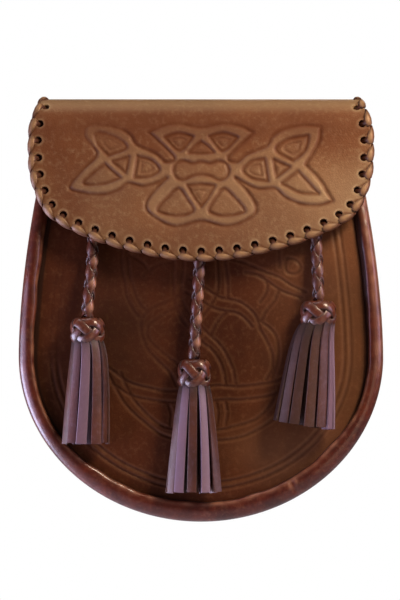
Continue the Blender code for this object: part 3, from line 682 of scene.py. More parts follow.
def stitch_tree():
    tree, given = new_tree("stitches along a seam", "Stitches", [
        ("Seams", "Geometry", None), ("Pitch", "Float", STITCH_PITCH),
        ("Stitch Length", "Float", STITCH_LENGTH), ("Thread", "Float", THREAD_WIDTH),
        ("Finish", "Material", None)])
    curve = add_node(tree, "GeometryNodeMeshToCurve", {"Mesh": given["Seams"]}).outputs[0]
    points = add_node(tree, "GeometryNodeCurveToPoints", {
        "Curve": curve, "Length": given["Pitch"]}, mode="LENGTH").outputs
    along = add_node(tree, "FunctionNodeAlignRotationToVector", {
        "Vector": points["Tangent"]}, axis="X").outputs[0]
    turned = add_node(tree, "FunctionNodeAlignRotationToVector", {
        "Rotation": along, "Vector": named(tree, "facing")}, axis="Z", pivot_axis="X").outputs[0]
    grain = add_node(tree, "GeometryNodeMeshUVSphere", {
        "Segments": 8, "Rings": 5, "Radius": 0.5}).outputs[0]
    size = add_node(tree, "ShaderNodeCombineXYZ", {
        "X": given["Stitch Length"], "Y": given["Thread"], "Z": given["Thread"]}).outputs[0]
    placed = add_node(tree, "GeometryNodeInstanceOnPoints", {
        "Points": points["Points"], "Instance": grain, "Rotation": turned, "Scale": size,
    }).outputs[0]
    return end_tree(tree, "Stitches", placed, given["Finish"])


STITCH_TREE = stitch_tree()
print("stitch tree:", len(STITCH_TREE.nodes), "nodes")

# %% Seams noted down
THREAD_LIFT = 0.05 * MM  # of a seam above the leather
TO_WEARER = (0, 1, 0)
seams = {}  # what is sewn -> its seams, as paths


def note_seam(sewn, points, facing):
    seams.setdefault(sewn, []).append(path_of(points, facing))


# %% [markdown]
# ## The pouch's outline
# Seen from the front, the body has leaning sides above an elliptic bowl. Seen from the side, it is
# thinner at its mouth. Four pieces share this outline: the back, the front panel, the gusset
# between them and the welt. Each is set in from it by its own amount.

# %% Body outline
WIDEST_DROP = 126.4 * MM
HALF_WIDTH = 89.4 * MM
BOWL_DEPTH = 81.3 * MM
SIDE_RISE = 120 * MM
SIDE_DRAW_IN = 17.1 * MM
SIDE_POWER = 1.7
MOUTH_DEPTH, BODY_DEPTH = 23 * MM, 32 * MM
THIN_DROP, FULL_DROP = 20 * MM, 90 * MM
MOUTH_DROP = 21 * MM


def half_width(drop):
    below = np.asarray(drop) - WIDEST_DROP
    side = HALF_WIDTH - SIDE_DRAW_IN * (np.maximum(-below, 0) / SIDE_RISE) ** SIDE_POWER
    bowl = HALF_WIDTH * np.sqrt(np.clip(1 - (np.maximum(below, 0) / BOWL_DEPTH) ** 2, 0, 1))
    return np.where(below < 0, side, bowl)


def rim_front(drop):
    """Y of the welt's frontmost line."""
    share = smooth_step((drop - THIN_DROP) / (FULL_DROP - THIN_DROP))
    return -blend(MOUTH_DEPTH, BODY_DEPTH, share)


def body_outline(top_drop, spacing):
    """(x, drop) points from the left of the mouth round to the right, evenly spaced."""
    drops = np.linspace(top_drop, WIDEST_DROP, 80, endpoint=False)
    angles = np.linspace(0, pi / 2, 160)
    bowl = np.stack([
        HALF_WIDTH * np.cos(angles), WIDEST_DROP + BOWL_DEPTH * np.sin(angles)], axis=-1)
    right = np.concatenate([np.stack([half_width(drops), drops], axis=-1), bowl])
    trace = Trace(np.concatenate([right * (-1, 1), right[-2::-1]]))
    return trace.at(grid_line(0, trace.length, spacing, multiple=2 * COARSE))


# %% Lines set in from the outline


def quarter_turn(along):
    return np.stack([-along[..., 1], along[..., 0]], axis=-1)


def outward_of(line):
    return unit(quarter_turn(np.gradient(line, axis=0)))


def half_outline(top_drop, spacing, inset):
    """The outline's right half from the mouth down to the middle, set in by so much."""
    right = body_outline(top_drop, spacing)
    right = right[len(right) // 2 :][::-1]
    return right + outward_of(right) * inset  # reversed, so that this way is inward


def rows_for(line):
    """Shares from 0 to 1 for the rows of a plate that has this line as its edge."""
    return np.linspace(0, 1, COARSE * (len(line) // COARSE) + 1)


def along_line(line, down):
    """Each column of a line, at shares of its length."""
    rows, index = down * (len(line) - 1), np.arange(len(line))
    return [np.interp(rows, index, column) for column in line.T]


# %% [markdown]
# ## Welt
# The welt is a strip of leather that is folded over the seam. At the mouth it is a round roll with
# a long slope down to the panel, and round the bowl it is a broad, nearly flat band with a narrow
# inner shoulder, which carries a painted highlight. The slope carries painted shade. So it is
# swept along the outline as a section that changes slowly from the one to the other. Thin leather
# that is bent round a curve creases across its width: a little noise, stretched across the strip,
# is pressed into it.

# %% Section of the welt
RIM_SECTION = MM * np.array([  # inward, back at the mouth, back round the bowl
    (0.9, 7.4, 7.4), (0.0, 5.2, 5.2), (0.1, 3.2, 3.5), (1.1, 1.1, 1.7), (2.6, 0.2, 0.6),
    (4.2, 0.1, 0.0), (5.6, 0.8, 0.0), (6.6, 2.0, 0.3), (7.3, 3.2, 1.2), (7.6, 4.0, 3.0),
])
RIM_DEPTH, RIM_WALL, RIM_LIP = RIM_SECTION[0, 1], 6.2 * MM, RIM_SECTION[-1, 0]
PANEL_RECESS = 4.5 * MM
PANEL_SIDE = PANEL_RECESS - GAP
RIM_CORNERS = [
    (RIM_LIP, PANEL_SIDE, PANEL_SIDE), (RIM_WALL, PANEL_SIDE, PANEL_SIDE),
    (RIM_WALL, RIM_DEPTH, RIM_DEPTH)]

section = np.concatenate([smooth_curve(RIM_SECTION, 4), RIM_CORNERS])
folded = len(section) - len(RIM_CORNERS)  # the points that lie on the folded leather
print("points round the welt's section:", len(section))

# %% Creases and changes along the welt
CREASE_DEPTH, CREASE_START = 0.34 * MM, 0.15  # noise below the start makes no sharp crease
WAVER = 0.5 * MM  # of the inner edge
BOWL_WIDENING = 0.28  # the band is broader at the bottom, by this share
BROAD_LEFT, BROAD_RIGHT, BROAD_RUN = 165 * MM, 150 * MM, 35 * MM  # drops where it widens
BOWL_FROM, BOWL_RUN = 55 * MM, 85 * MM  # drops over which the section changes
SIDE_RUN = 40 * MM  # over this width the left side passes into the right
FOLD_X, FOLD_DEPTH, FOLD_WIDTH = 48 * MM, 0.6 * MM, 1.1 * MM  # one sharp fold, lower right
FAR = 1.0  # out of the fold's reach


def rough(x, y, z):
    """Smooth noise, about -1 to 1."""
    return noise.noise(Vector((x, y, z)))


def crease(distance, inward):
    """Depth of the creases; they run across the strip, so the noise changes fastest along it."""
    slow = 0.5 + 0.5 * rough(distance * 18, 3.1, 0)
    sharp = rough(distance * 300, inward * 110, 7.7)
    wide = rough(distance * 70, inward * 60, 1.3)
    return CREASE_DEPTH * (slow * max(0.0, sharp - CREASE_START) * 1.4 + 0.7 * wide)


def along_welt(point):
    """How far a place is round the bowl, how far right, and its distance from the fold."""
    x, drop = point
    bowl = smooth_step((drop - BOWL_FROM) / BOWL_RUN)
    on_right = smooth_step(0.5 + x / SIDE_RUN)
    to_fold = x - FOLD_X if drop > WIDEST_DROP else FAR
    return bowl, on_right, to_fold


def welt_ring(distance, point, away):
    """The welt's section at a place on the outline, in space."""
    bowl, on_right, to_fold = along_welt(point)
    dents = np.array([
        crease(distance, inward) if i < folded else 0.0 for i, inward in enumerate(section[:, 0])])
    dents[:folded] += FOLD_DEPTH * bell(to_fold, FOLD_WIDTH)
    waver = WAVER * rough(distance * 80, 0, 4.0)
    inward = section[:, 0] + waver * section[:, 0] / RIM_LIP
    broad = smooth_step((point[1] - blend(BROAD_LEFT, BROAD_RIGHT, on_right)) / BROAD_RUN)
    inward[: folded + 1] *= 1 + BOWL_WIDENING * broad
    place = point - away * inward[:, None]
    y = rim_front(place[:, 1]) + blend(section[:, 1], section[:, 2], bowl) + dents
    return np.stack([place[:, 0], y, CREST_Z - place[:, 1]], axis=-1)


# %% Wear, painted highlight and painted shade on the welt
# The inner shoulder, where a painted highlight runs, and its width
SHOULDER, SHOULDER_WIDTH = 6.7 * MM, 0.8 * MM
FOLD_LIPS, LIP_WIDTH = (-1.3 * MM, 2.3 * MM), 1.0 * MM  # rubbed light, beside the fold
ROLL_TOP, ROLL_WIDTH = 2.0 * MM, 2.2 * MM  # what is frayed at the upper right
FRAYED_DROP, FRAYED_RUN = 115 * MM, 40 * MM


def welt_rubbed(distance, point):
    """A painted highlight on the shoulder, light wear beside the fold, and the frayed roll at the
    upper right.
    """
    bowl, on_right, to_fold = along_welt(point)
    inward = section[:, 0]
    patchy = np.array([
        0.5 + 1.1 * rough(distance * 170, place * 160, 9.0) for place in inward]).clip(0.05, 1)
    # the painted highlight along the shoulder, and then the rubbed lips of the fold
    highlight_and_fold_wear = blend(0.5, 0.9, bowl) * bell(inward - SHOULDER, SHOULDER_WIDTH)
    beside_fold = max(bell(to_fold - lip, LIP_WIDTH) for lip in FOLD_LIPS)
    inner_half = smooth_step((inward - 3.2 * MM) / (2.5 * MM))
    highlight_and_fold_wear = np.maximum(highlight_and_fold_wear, beside_fold * inner_half)
    frayed = on_right * (1 - smooth_step((point[1] - FRAYED_DROP) / FRAYED_RUN))
    roll = (0.2 + 0.6 * patchy) * frayed * bell(inward - ROLL_TOP, ROLL_WIDTH)
    return np.maximum(patchy * highlight_and_fold_wear * (1 - frayed), roll)


def welt_slope_shade(point):
    """Painted shade on the slope down to the panel: wide at the mouth, mostly on the right, where
    the slope faces away from the light, and narrow round the bowl.
    """
    bowl, on_right, _ = along_welt(point)
    start = blend(blend(6.9, 4.6, on_right), 7.2, bowl) * MM
    return smooth_step((section[:, 0] - start) / (blend(0.9, 0.4, bowl) * MM))


# %% Welt
RIM_SPACING = 0.8 * MM

line = body_outline(MOUTH_DROP, RIM_SPACING)
places = [(number * RIM_SPACING, point) for number, point in enumerate(line)]
rings = np.array([
    welt_ring(*place, away) for place, away in zip(places, outward_of(line))])
count = len(section)
faces = grid_faces(len(rings), count)
faces += [[i * count, (i + 1) * count, (i + 2) * count - 1, (i + 1) * count - 1]
          for i in range(len(rings) - 1)]
faces += [list(range(count)), list(range((len(rings) - 1) * count, len(rings) * count))]
mesh = mesh_of("leather_welt", rings, faces)
paint_attribute(mesh, "rubbed", np.ravel([welt_rubbed(*place) for place in places]))
paint_attribute(mesh, "tooled", np.ravel([welt_slope_shade(point) for _, point in places]))
hand_over(add_piece("leather_welt", mesh, welt_finish), "rim_leather", "front_rim")

# %% [markdown]
# ## Tooled front panel
# The front panel is a softly domed plate of dark leather. A large knot of rings and arcs and a
# double border are pressed into it, thin and shallow, so that they show mainly as glints. A line
# is pressed by moving each corner of the fine mesh back by an amount that depends on how far the
# corner lies from the line: this needs no picture, and the lines stay sharp from near by.

# %% Distance from a line


def line_distance(points, line, reach=3 * MM):
    """Distance from each (x, drop) point to a line, at most reach."""
    found = np.full(len(points), reach)
    inside = (points > line.min(0) - reach) & (points < line.max(0) + reach)
    near = np.flatnonzero(inside.all(1))
    close, best = points[near], found[near]
    for start, end in zip(line, line[1:]):
        step = end - start
        length = step @ step
        if length == 0:
            continue
        share = np.clip((close - start) @ step / length, 0, 1)
        best = np.minimum(best, np.hypot(*(close - start - share[:, None] * step).T))
    found[near] = best
    return found


def nearest_of(points, lines):
    return np.minimum.reduce([line_distance(points, line) for line in lines])


def front_view(points):
    """(x, drop) of points in space."""
    return np.stack([points[:, 0], CREST_Z - points[:, 2]], axis=-1)


# %% Lines of the panel
BORDER_INSETS = (15.6 * MM, 18.8 * MM)
PANEL_LINES = [  # x and drop, mm
    [(-47.5, 130.5), (-41.5, 135), (-35, 139.5), (-26, 142), (-17, 143.5), (-4.5, 143), (7.5, 141),
     (19, 141.5), (34, 139.5), (43.5, 136)],
    [(-43.5, 140), (-35, 145.5), (-28, 147.5), (-16, 149), (-2.5, 149), (11.5, 148), (19, 148),
     (31, 146.5), (40.5, 143.5)],
    [(-39.5, 134.5), (-37, 140.5), (-34, 146.5), (-30, 151.5), (-25, 156.5), (-18, 161),
     (-5.5, 163.5), (7.5, 163), (15, 161.5), (25, 158.5), (30, 155), (35.5, 148.5), (39, 141)],
    [(-46, 134.5), (-43.5, 139), (-40.5, 144.5), (-37.5, 149.5), (-33, 154.5), (-27, 159.5),
     (-19, 165), (-5.5, 168.5), (8.5, 168), (19, 166.5), (27, 163), (36, 157), (42.5, 149),
     (46, 142)],
    [(-39, 74.5), (-39, 81), (-38.5, 86), (-37.5, 91.5), (-36.5, 97.5), (-33.5, 103.5),
     (-30.5, 107.5)],
    [(-36, 74.5), (-35.5, 83), (-34.5, 89.5), (-32.5, 95.5), (-30, 101), (-26.5, 104.5)],
    [(-8.5, 95), (-16, 99.5), (-21, 101.5), (-26, 104.5), (-29, 108.5), (-29.5, 112.5),
     (-28.5, 117.5), (-26, 123.5), (-20, 130), (-15, 135), (-12, 141)],
    [(-8.5, 101), (-16, 104.5), (-22, 108.5), (-25.5, 111), (-26.5, 115), (-25, 119), (-20, 124),
     (-12, 130), (-6.5, 135)],
    [(-13, 74.5), (-13.5, 86.5), (-13.5, 95.5), (-12.5, 101.5), (-9.5, 108.5), (-4.5, 114),
     (1, 120), (4.5, 122.5), (7.5, 126), (10.5, 132), (12, 140)],
    [(-8.5, 78.5), (-9, 86), (-10, 93), (-9.5, 99), (-7, 103.5), (-1.5, 110.5), (4.5, 116.5),
     (7.5, 119), (11.5, 124), (14, 129), (16, 134), (17, 140)],
    [(12, 74.5), (12, 81), (13, 89), (13, 97.5)],
    [(8, 77.5), (8.5, 88.5), (8, 94.5), (6, 99.5), (1, 106.5), (-4.5, 113.5)],
    [(-5.5, 88.5), (2.5, 93.5), (8.5, 97.5), (13, 98.5), (19, 100), (24, 103.5), (27.5, 108),
     (29, 113.5)],
    [(-7.5, 95), (2, 100.5), (7.5, 103.5), (13, 104.5), (18, 105.5), (22, 108.5), (25, 112)],
    [(13, 104.5), (9, 108.5), (6.5, 112.5), (4.5, 116.5)],
    [(13, 78.5), (22, 81), (32, 85.5), (38.5, 88), (44.5, 92), (51.5, 95)],
    [(22, 85.5), (27, 86.5), (32, 89.5), (39.5, 94.5), (49.5, 98)],
    [(22, 85.5), (30, 87.5), (32.5, 91.5), (32, 95.5), (29, 100)],
    [(38, 94.5), (36, 99.5), (32, 104.5), (29.5, 109.5)],
    [(30, 110), (34, 113), (37, 117), (38, 122.5), (37.5, 129.5), (35, 137)],
    [(29, 113.5), (32.5, 119.5), (35, 126), (35, 132.5), (32, 138)],
    [(38.5, 73), (38.5, 83)],
    [(42.5, 78.5), (46.5, 79.5), (49, 83), (46.5, 86), (42.5, 85.5), (41.5, 82), (42.5, 78.5)],
    [(-36, 76.5), (-32, 78.5), (-28, 81.5), (-25, 86)],
    [(-28, 87), (-24, 83.5), (-19, 81), (-14, 80.5)],
    [(12, 149), (13, 154.5), (12, 160)],
    [(7.5, 149.5), (8.5, 155), (7.5, 161)],
    [(-16, 150), (-14.5, 155), (-15, 161)],
]

panel_lines = [smooth_curve(np.array(bar) * MM, 5) for bar in PANEL_LINES]
outline = body_outline(MOUTH_DROP, 3 * MM)
panel_lines += [outline - outward_of(outline) * inset for inset in BORDER_INSETS]
print("lines pressed into the panel:", len(panel_lines))

# %% Shape of the panel
PANEL_THICKNESS, PANEL_DOME = 2.3 * MM, 1.5 * MM
PRESS_DEPTH, PRESS_WIDTH = 0.44 * MM, 0.70 * MM

panel_edge = half_outline(MOUTH_DROP, 0.6 * MM, RIM_WALL + GAP)


def panel_face(x, drop):
    """Y of the panel's face."""
    below = np.maximum(drop - WIDEST_DROP, 0.0)
    across = x / (half_width(np.minimum(drop, WIDEST_DROP)) - RIM_LIP)
    from_middle = np.minimum(np.hypot(across, below / (BOWL_DEPTH - RIM_LIP)), 1.0)
    return rim_front(drop) + PANEL_RECESS - PANEL_DOME * (1 - from_middle**2)


def place_panel(across, down, height):
    half, drop = along_line(panel_edge, down)
    x = across * half
    y = panel_face(x, drop) + PANEL_THICKNESS / 2 - height
    return np.stack([x, y, CREST_Z - drop], axis=-1)


def pressure(points):
    """How hard the tool was pressed at front-view points: the upper left is faint."""
    faint = smooth_step((8 * MM - points[:, 0]) / (14 * MM))
    faint = np.maximum(0.55 * faint, smooth_step((-42 * MM - points[:, 0]) / (12 * MM)))
    return 1 - 0.85 * faint * smooth_step((136 * MM - points[:, 1]) / (12 * MM))


def pressed(points):
    return pressure(points) * bell(nearest_of(points, panel_lines), PRESS_WIDTH)


def press_panel(face):
    depth = PRESS_DEPTH * pressed(front_view(face.reshape(-1, 3)))
    return -depth.reshape(face.shape[:2])


# %% Front panel
PANEL_COLUMNS = 225

mesh = plate_mesh("tooled_front_panel", place_panel, np.linspace(-1, 1, PANEL_COLUMNS),
                  rows_for(panel_edge), PANEL_THICKNESS, press_panel)
flat = front_view(corners_of(mesh))
x, drop = flat.T / MM
painted_left_shade = 0.55 * bell(x + 40, 24) * bell(drop - 116, 36)  # painted shade, darker on the left middle
from_outline = line_distance(flat, outline, 14 * MM) / MM
shaded = 8.2 + smooth_step((-20 - x) / 40) * smooth_step((150 - drop) / 40)
crevice_shade = 1 - smooth_step((from_outline - shaded) / 0.9)  # painted shade in the crevice beside the welt, wider at the upper left
# Darker: dirt in the pressed lines, and painted shade on the left middle and in the crevice.
dark = np.maximum(0.32 * pressed(flat) + painted_left_shade, crevice_shade)
paint_attribute(mesh, "tooled", np.clip(dark, 0, 1))
painted_light_patch = 0.4 * bell(x - 32, 20) * bell(drop - 172, 12)  # painted light at the lower right
# Lighter, all of it painted light: a highlight on the ridges beside each line, light that grows
# towards the right, and the patch at the lower right.
line_highlight = bell(nearest_of(flat, panel_lines) - 1.3 * MM, 0.5 * MM) * pressure(flat)
lightened = 0.24 * line_highlight + 0.35 * smooth_step((x - 10) / 60) + painted_light_patch
paint_attribute(mesh, "rubbed", np.clip(lightened, 0, 1))
panel = add_piece("tooled_front_panel", mesh, panel_finish)
hand_over(panel, "panel_leather", "front_panel")

# %% [markdown]
# ## Gusset and back
# A band of leather gives the pouch its depth, and sinks a little between its two seams. The back
# is a flat plate. Both are sewn, as the belt loops are, with saddle stitches near their edges.

# %% Gusset
GUSSET_THICKNESS, GUSSET_INSET, GUSSET_WAIST = 2.0 * MM, 1.2 * MM, 1.4 * MM
GUSSET_COLUMNS = 25
GUSSET_SEAM, GUSSET_SEAM_POINTS = 0.72, 600  # at this share of the way from middle to edge
BACK_THICKNESS = 2.0 * MM

gusset_line = body_outline(MOUTH_DROP, 1.0 * MM)
gusset_line = np.concatenate([gusset_line, outward_of(gusset_line)], axis=1)


def place_gusset(across, down, height):
    x, drop, out_x, out_drop = along_line(gusset_line, down)
    sink = GUSSET_INSET + GUSSET_WAIST * (1 - across**2) + GUSSET_THICKNESS / 2 - height
    x, drop = x - out_x * sink, drop - out_drop * sink
    back, front = -BACK_THICKNESS - GAP, rim_front(drop) + RIM_DEPTH + GAP
    return np.stack([x, blend(back, front, (across + 1) / 2), CREST_Z - drop], axis=-1)


mesh = plate_mesh("gusset_band", place_gusset, np.linspace(-1, 1, GUSSET_COLUMNS),
                  rows_for(gusset_line), GUSSET_THICKNESS, radius=0.5 * MM)
hand_over(add_piece("gusset_band", mesh, body_finish), "body_leather", "gusset")
for side in (-GUSSET_SEAM, GUSSET_SEAM):
    column = np.full(GUSSET_SEAM_POINTS, side)
    down = np.linspace(0.01, 0.99, GUSSET_SEAM_POINTS)
    points = place_gusset(column, down, GUSSET_THICKNESS / 2)
    below = place_gusset(column, down, GUSSET_THICKNESS / 2 - 0.5 * MM)
    note_seam("gusset", points, points - below)

# %% Back panel
BACK_TOP_DROP = 15 * MM
BACK_COLUMNS = 97
SEAM_TOP_DROP, EDGE_SEAM = 30 * MM, 3.6 * MM

back_edge = half_outline(BACK_TOP_DROP, 1.2 * MM, GUSSET_INSET)


def place_back(across, down, height):
    half, drop = along_line(back_edge, down)
    return np.stack([across * half, height - BACK_THICKNESS / 2, CREST_Z - drop], axis=-1)


mesh = plate_mesh("back_leather", place_back, np.linspace(-1, 1, BACK_COLUMNS),
                  rows_for(back_edge), BACK_THICKNESS, radius=0.5 * MM)
hand_over(add_piece("back_leather", mesh, body_finish), "body_leather", "back_panel")
line = body_outline(SEAM_TOP_DROP, 1.5 * MM)
line = line - outward_of(line) * (GUSSET_INSET + EDGE_SEAM)
points = np.stack([line[:, 0], np.full(len(line), THREAD_LIFT), CREST_Z - line[:, 1]], axis=-1)
note_seam("back", points, TO_WEARER)

# %% Belt loops
LOOP_SPREAD, LOOP_WIDTH, LOOP_HALF_HEIGHT = 45 * MM, 20 * MM, 24 * MM
LOOP_THICKNESS, LOOP_RISE = 2.0 * MM, 6.6 * MM
LOOP_FLAT_END, LOOP_RAMP = 7 * MM, 4 * MM
LOOP_COLUMNS, LOOP_ROWS = 33, 81
LOOP_SEAMS = 2.4 * MM, 5.2 * MM  # from either end
LOOP_SEAM_X = np.linspace(-7.5, 7.5, 31) * MM

for side, middle in (("left", -LOOP_SPREAD), ("right", LOOP_SPREAD)):

    def place_loop(across, down, height):
        z = blend(LOOP_HALF_HEIGHT, -LOOP_HALF_HEIGHT, down)
        from_end = LOOP_HALF_HEIGHT - np.abs(z)
        rise = LOOP_RISE * smooth_step((from_end - LOOP_FLAT_END) / LOOP_RAMP)
        y = GAP + LOOP_THICKNESS / 2 + rise + height
        return np.stack([middle + across * LOOP_WIDTH / 2, y, z], axis=-1)

    node = f"belt_loop_{side}"
    mesh = plate_mesh(f"{node}_leather", place_loop, np.linspace(-1, 1, LOOP_COLUMNS),
                      np.linspace(0, 1, LOOP_ROWS), LOOP_THICKNESS)
    from_side = LOOP_WIDTH / 2 - np.abs(corners_of(mesh)[:, 0] - middle)
    paint_attribute(mesh, "rubbed", np.exp(-from_side / (1.2 * MM)))
    hand_over(add_piece(f"{node}_leather", mesh, body_finish), "body_leather", node)
    for from_end in LOOP_SEAMS:
        for end in (-1, 1):
            x = middle + LOOP_SEAM_X
            y = np.full(len(x), GAP + LOOP_THICKNESS + THREAD_LIFT)
            z = np.full(len(x), end * (LOOP_HALF_HEIGHT - from_end))
            note_seam(node, np.stack([x, y, z], axis=-1), TO_WEARER)

# %% [markdown]
# ## Folded flap
# The flap is cut flat and folded over the mouth. Its pattern is a flat outline, x across and reach
# along the leather, and the fold bends it along a profile seen from the side. A patch between the
# four sides of the outline fills it with rows and columns. The punched holes are cut afterwards,
# with one Boolean, so that they are real holes for the lace.

# %% Flap outline
FLAP_THICKNESS = 2.4 * MM
FLAP_PROFILE = [  # forward and drop, mm: up the back, over the crest and down the front
    (-1.5, 28.0), (-1.5, 20.0), (-1.3, 12.5), (1.0, 6.2), (5.4, 2.4), (11.0, 1.2), (16.8, 2.5),
    (21.4, 6.4), (23.8, 12.5), (25.4, 21.0), (28.4, 33.0), (32.2, 46.0), (36.0, 59.0),
    (38.6, 70.0), (39.6, 80.0),
]
CREST_POINT = 5  # of the profile
FLAP_TAIL = [(73.0, -32.0), (73.6, -22.0), (75.0, -12.0), (77.6, -2.0)]  # half width, reach, mm
FLAP_EDGE = [  # half width and drop, mm
    (80.4, 5.0), (83.1, 13.0), (83.8, 23.0), (83.1, 36.0), (80.9, 44.5), (78.2, 51.0),
    (74.2, 56.8), (67.2, 61.8), (57.5, 66.4), (44.2, 71.3), (27.5, 75.6), (13.5, 78.1),
    (0.0, 79.0),
]
FLAP_CORNER = 6  # of the edge
PROFILE_STEPS, EDGE_STEPS = 16, 12

profile = Trace(smooth_curve(np.array(FLAP_PROFILE) * (-MM, MM), PROFILE_STEPS))
crest_number = CREST_POINT * PROFILE_STEPS
crest = profile.distances[crest_number]
front_drops = profile.points[crest_number:, 1]
front_reach = profile.distances[crest_number:] - crest
half_edge = [(half * MM, reach * MM) for half, reach in FLAP_TAIL]
half_edge += [(half * MM, np.interp(drop * MM, front_drops, front_reach))
              for half, drop in FLAP_EDGE]
right = smooth_curve(half_edge, EDGE_STEPS)
flap_edge = Trace(np.concatenate([right * (-1, 1), right[-2::-1]]))
corner_distance = flap_edge.distances[(len(FLAP_TAIL) + FLAP_CORNER) * EDGE_STEPS]

# %% Fold and pattern
FLAP_HALF_WIDTH, FLAP_CROWN, FLAP_CROWN_POWER = 84 * MM, 3.6 * MM, 3.5
FLAP_CROWN_DROP, FLAP_CROWN_RUN = 20 * MM, 60 * MM


def fold(x, reach, height):
    """The place in space of a pattern point, at a height above the sheet's middle."""
    distance = crest + reach
    place = profile.at(distance)
    along = profile.direction(distance)
    drop = place[..., 1]
    curl = smooth_step((drop - FLAP_CROWN_DROP) / FLAP_CROWN_RUN)
    curl = FLAP_CROWN * curl * np.abs(x / FLAP_HALF_WIDTH) ** FLAP_CROWN_POWER
    y = place[..., 0] + np.where(reach > 0, curl, 0) - along[..., 1] * height
    return np.stack([x, y, CREST_Z - drop - along[..., 0] * height], axis=-1)


def flap_pattern(across, down):
    """Pattern points of a patch between the tail's end, the two sides and the lower edge."""
    u, v = ((across + 1) / 2)[..., None], down[..., None]
    left = flap_edge.at(down * corner_distance)
    lower = flap_edge.at(blend(corner_distance, flap_edge.length - corner_distance, u[..., 0]))
    tail_x, tail_reach = half_edge[0]
    tail = np.stack([across * tail_x, np.full(across.shape, tail_reach)], axis=-1)
    corner = flap_edge.at(corner_distance)
    corners = np.stack([across * -corner[0], np.full(across.shape, corner[1])], axis=-1)
    sides = blend(left, left * (-1, 1), u)
    return sides + blend(tail, lower, v) - blend(tail, corners, v)


def place_flap(across, down, height):
    pattern = flap_pattern(across, down)
    return fold(pattern[..., 0], pattern[..., 1], height)


# %% Places for the holes
LACE_MARGIN = 3.8 * MM
LACE_HOLES, LACE_PITCH = 37, 9.1 * MM


def lace_point(along, out, height):
    """A place round the flap's edge: out from the line of holes, height above the sheet."""
    outward = quarter_turn(flap_edge.direction(along))
    point = flap_edge.at(along) + outward * (np.asarray(out) - LACE_MARGIN)[..., None]
    return fold(point[..., 0], point[..., 1], height)


first_hole = (flap_edge.length - (LACE_HOLES - 1) * LACE_PITCH) / 2
hole_distances = first_hole + np.arange(LACE_HOLES) * LACE_PITCH
print("flap edge", round(flap_edge.length / MM, 1), "mm with", LACE_HOLES, "holes")

# %% [markdown]
# ## Knotwork
# The flap carries an interlace of the old, common kind: strands that cross between leaf-shaped
# fields. What the eye sees are dark pressed lines round the fields and round the whole knot, with
# the strands standing proud between them. So each field is one closed line, given for the right
# half in millimetres and mirrored. A point that is named twice makes a sharp tip, because the
# smooth curve then stops in it.

# %% Knotwork lines
MIDDLE_FIELDS = [  # x and drop, mm
    [(0, 31.3), (4.5, 32.0), (8.5, 30.8), (12.2, 32.2), (13.5, 35.6), (12.0, 39.0), (8.8, 40.2),
     (4.5, 38.3), (0, 37.6)],
    [(0, 21.4), (0, 21.4), (3.2, 23.6), (6.1, 26.6), (6.1, 26.6), (0, 27.0)],
    [(0, 42.4), (6.6, 42.9), (6.6, 42.9), (3.4, 48.6), (0, 53.2), (0, 53.2)],
]
SIDE_FIELDS = [
    [(4.2, 18.9), (4.2, 18.9), (11.0, 17.2), (17.7, 19.3), (17.7, 19.3), (10.5, 25.8)],
    [(11.1, 44.5), (16.5, 49.0), (21.0, 54.6), (19.6, 56.5), (10.8, 57.8), (4.0, 55.4),
     (7.0, 49.5)],
    [(20.7, 35.5), (24.3, 31.3), (31.0, 29.8), (31.0, 29.8), (32.7, 40.8), (32.7, 40.8),
     (25.2, 39.4)],
    [(35.6, 30.4), (35.6, 30.4), (43.3, 33.8), (43.3, 33.8), (37.0, 38.9), (37.0, 38.9)],
    [(36.8, 25.6), (42.2, 20.5), (52.5, 18.4), (52.5, 18.4), (50.9, 25.4), (45.3, 30.7),
     (45.3, 30.7)],
    [(39.7, 41.9), (39.7, 41.9), (47.4, 36.0), (47.4, 36.0), (57.5, 47.0), (57.5, 47.0),
     (48.0, 46.3)],
]
KNOT_OUTLINE = [
    (0, 14.2), (11.3, 12.5), (19.5, 13.9), (25.6, 17.0), (25.6, 17.0), (13.4, 28.9), (17.6, 31.3),
    (22.3, 27.6), (31.6, 23.8), (34.8, 19.0), (40.4, 15.3), (49.8, 13.2), (58.6, 13.8),
    (58.6, 13.8), (57.8, 21.2), (51.3, 32.6), (51.3, 32.6), (58.4, 40.4), (64.5, 50.6),
    (64.5, 50.6), (57.0, 52.7), (48.6, 52.0), (41.2, 48.8), (36.0, 44.4), (28.0, 44.6),
    (21.0, 41.6), (16.8, 39.2), (22.6, 45.6), (27.0, 53.0), (24.8, 58.2), (13.2, 63.0), (0, 60.4),
]
OUTLINE = len(MIDDLE_FIELDS)  # the outline's number, since it follows the middle fields
DOUBLE_MIDDLE, DOUBLE_SIDE = (1, 2), (0, 2, 4)  # fields with a second, smaller line inside
INNER_SIZE = 0.5

# %% Lines as they were drawn


def mirrored_loop(half):
    half = np.array(half, float) * MM
    other = half[::-1] * (-1, 1)
    other = other[other[:, 0] < -1e-9]
    return np.concatenate([half, other])


def hand_drawn(loop):
    """The left cluster was drawn higher than the right one, most of all at its lower tip."""
    x, drop = loop.T / MM
    rise = 6.6 * np.clip((-18 - x) / 45, 0, None) * np.clip((drop - 14) / 36, 0, None) ** 0.6
    rise += 2.2 * bell(drop - 31, 5) * smooth_step((-45 - x) / 5)
    upright = 2.6 * smooth_step((-46 - x) / 10) * smooth_step((24 - drop) / 8)
    return np.stack([x + upright, drop - rise], axis=-1) * MM


def worn_round(loop):
    """On the far left the tips have worn round, so a tip there is named only once."""
    again = (loop == np.roll(loop, 1, axis=0)).all(1)
    return loop[~(again & (loop[:, 0] < -50 * MM))]


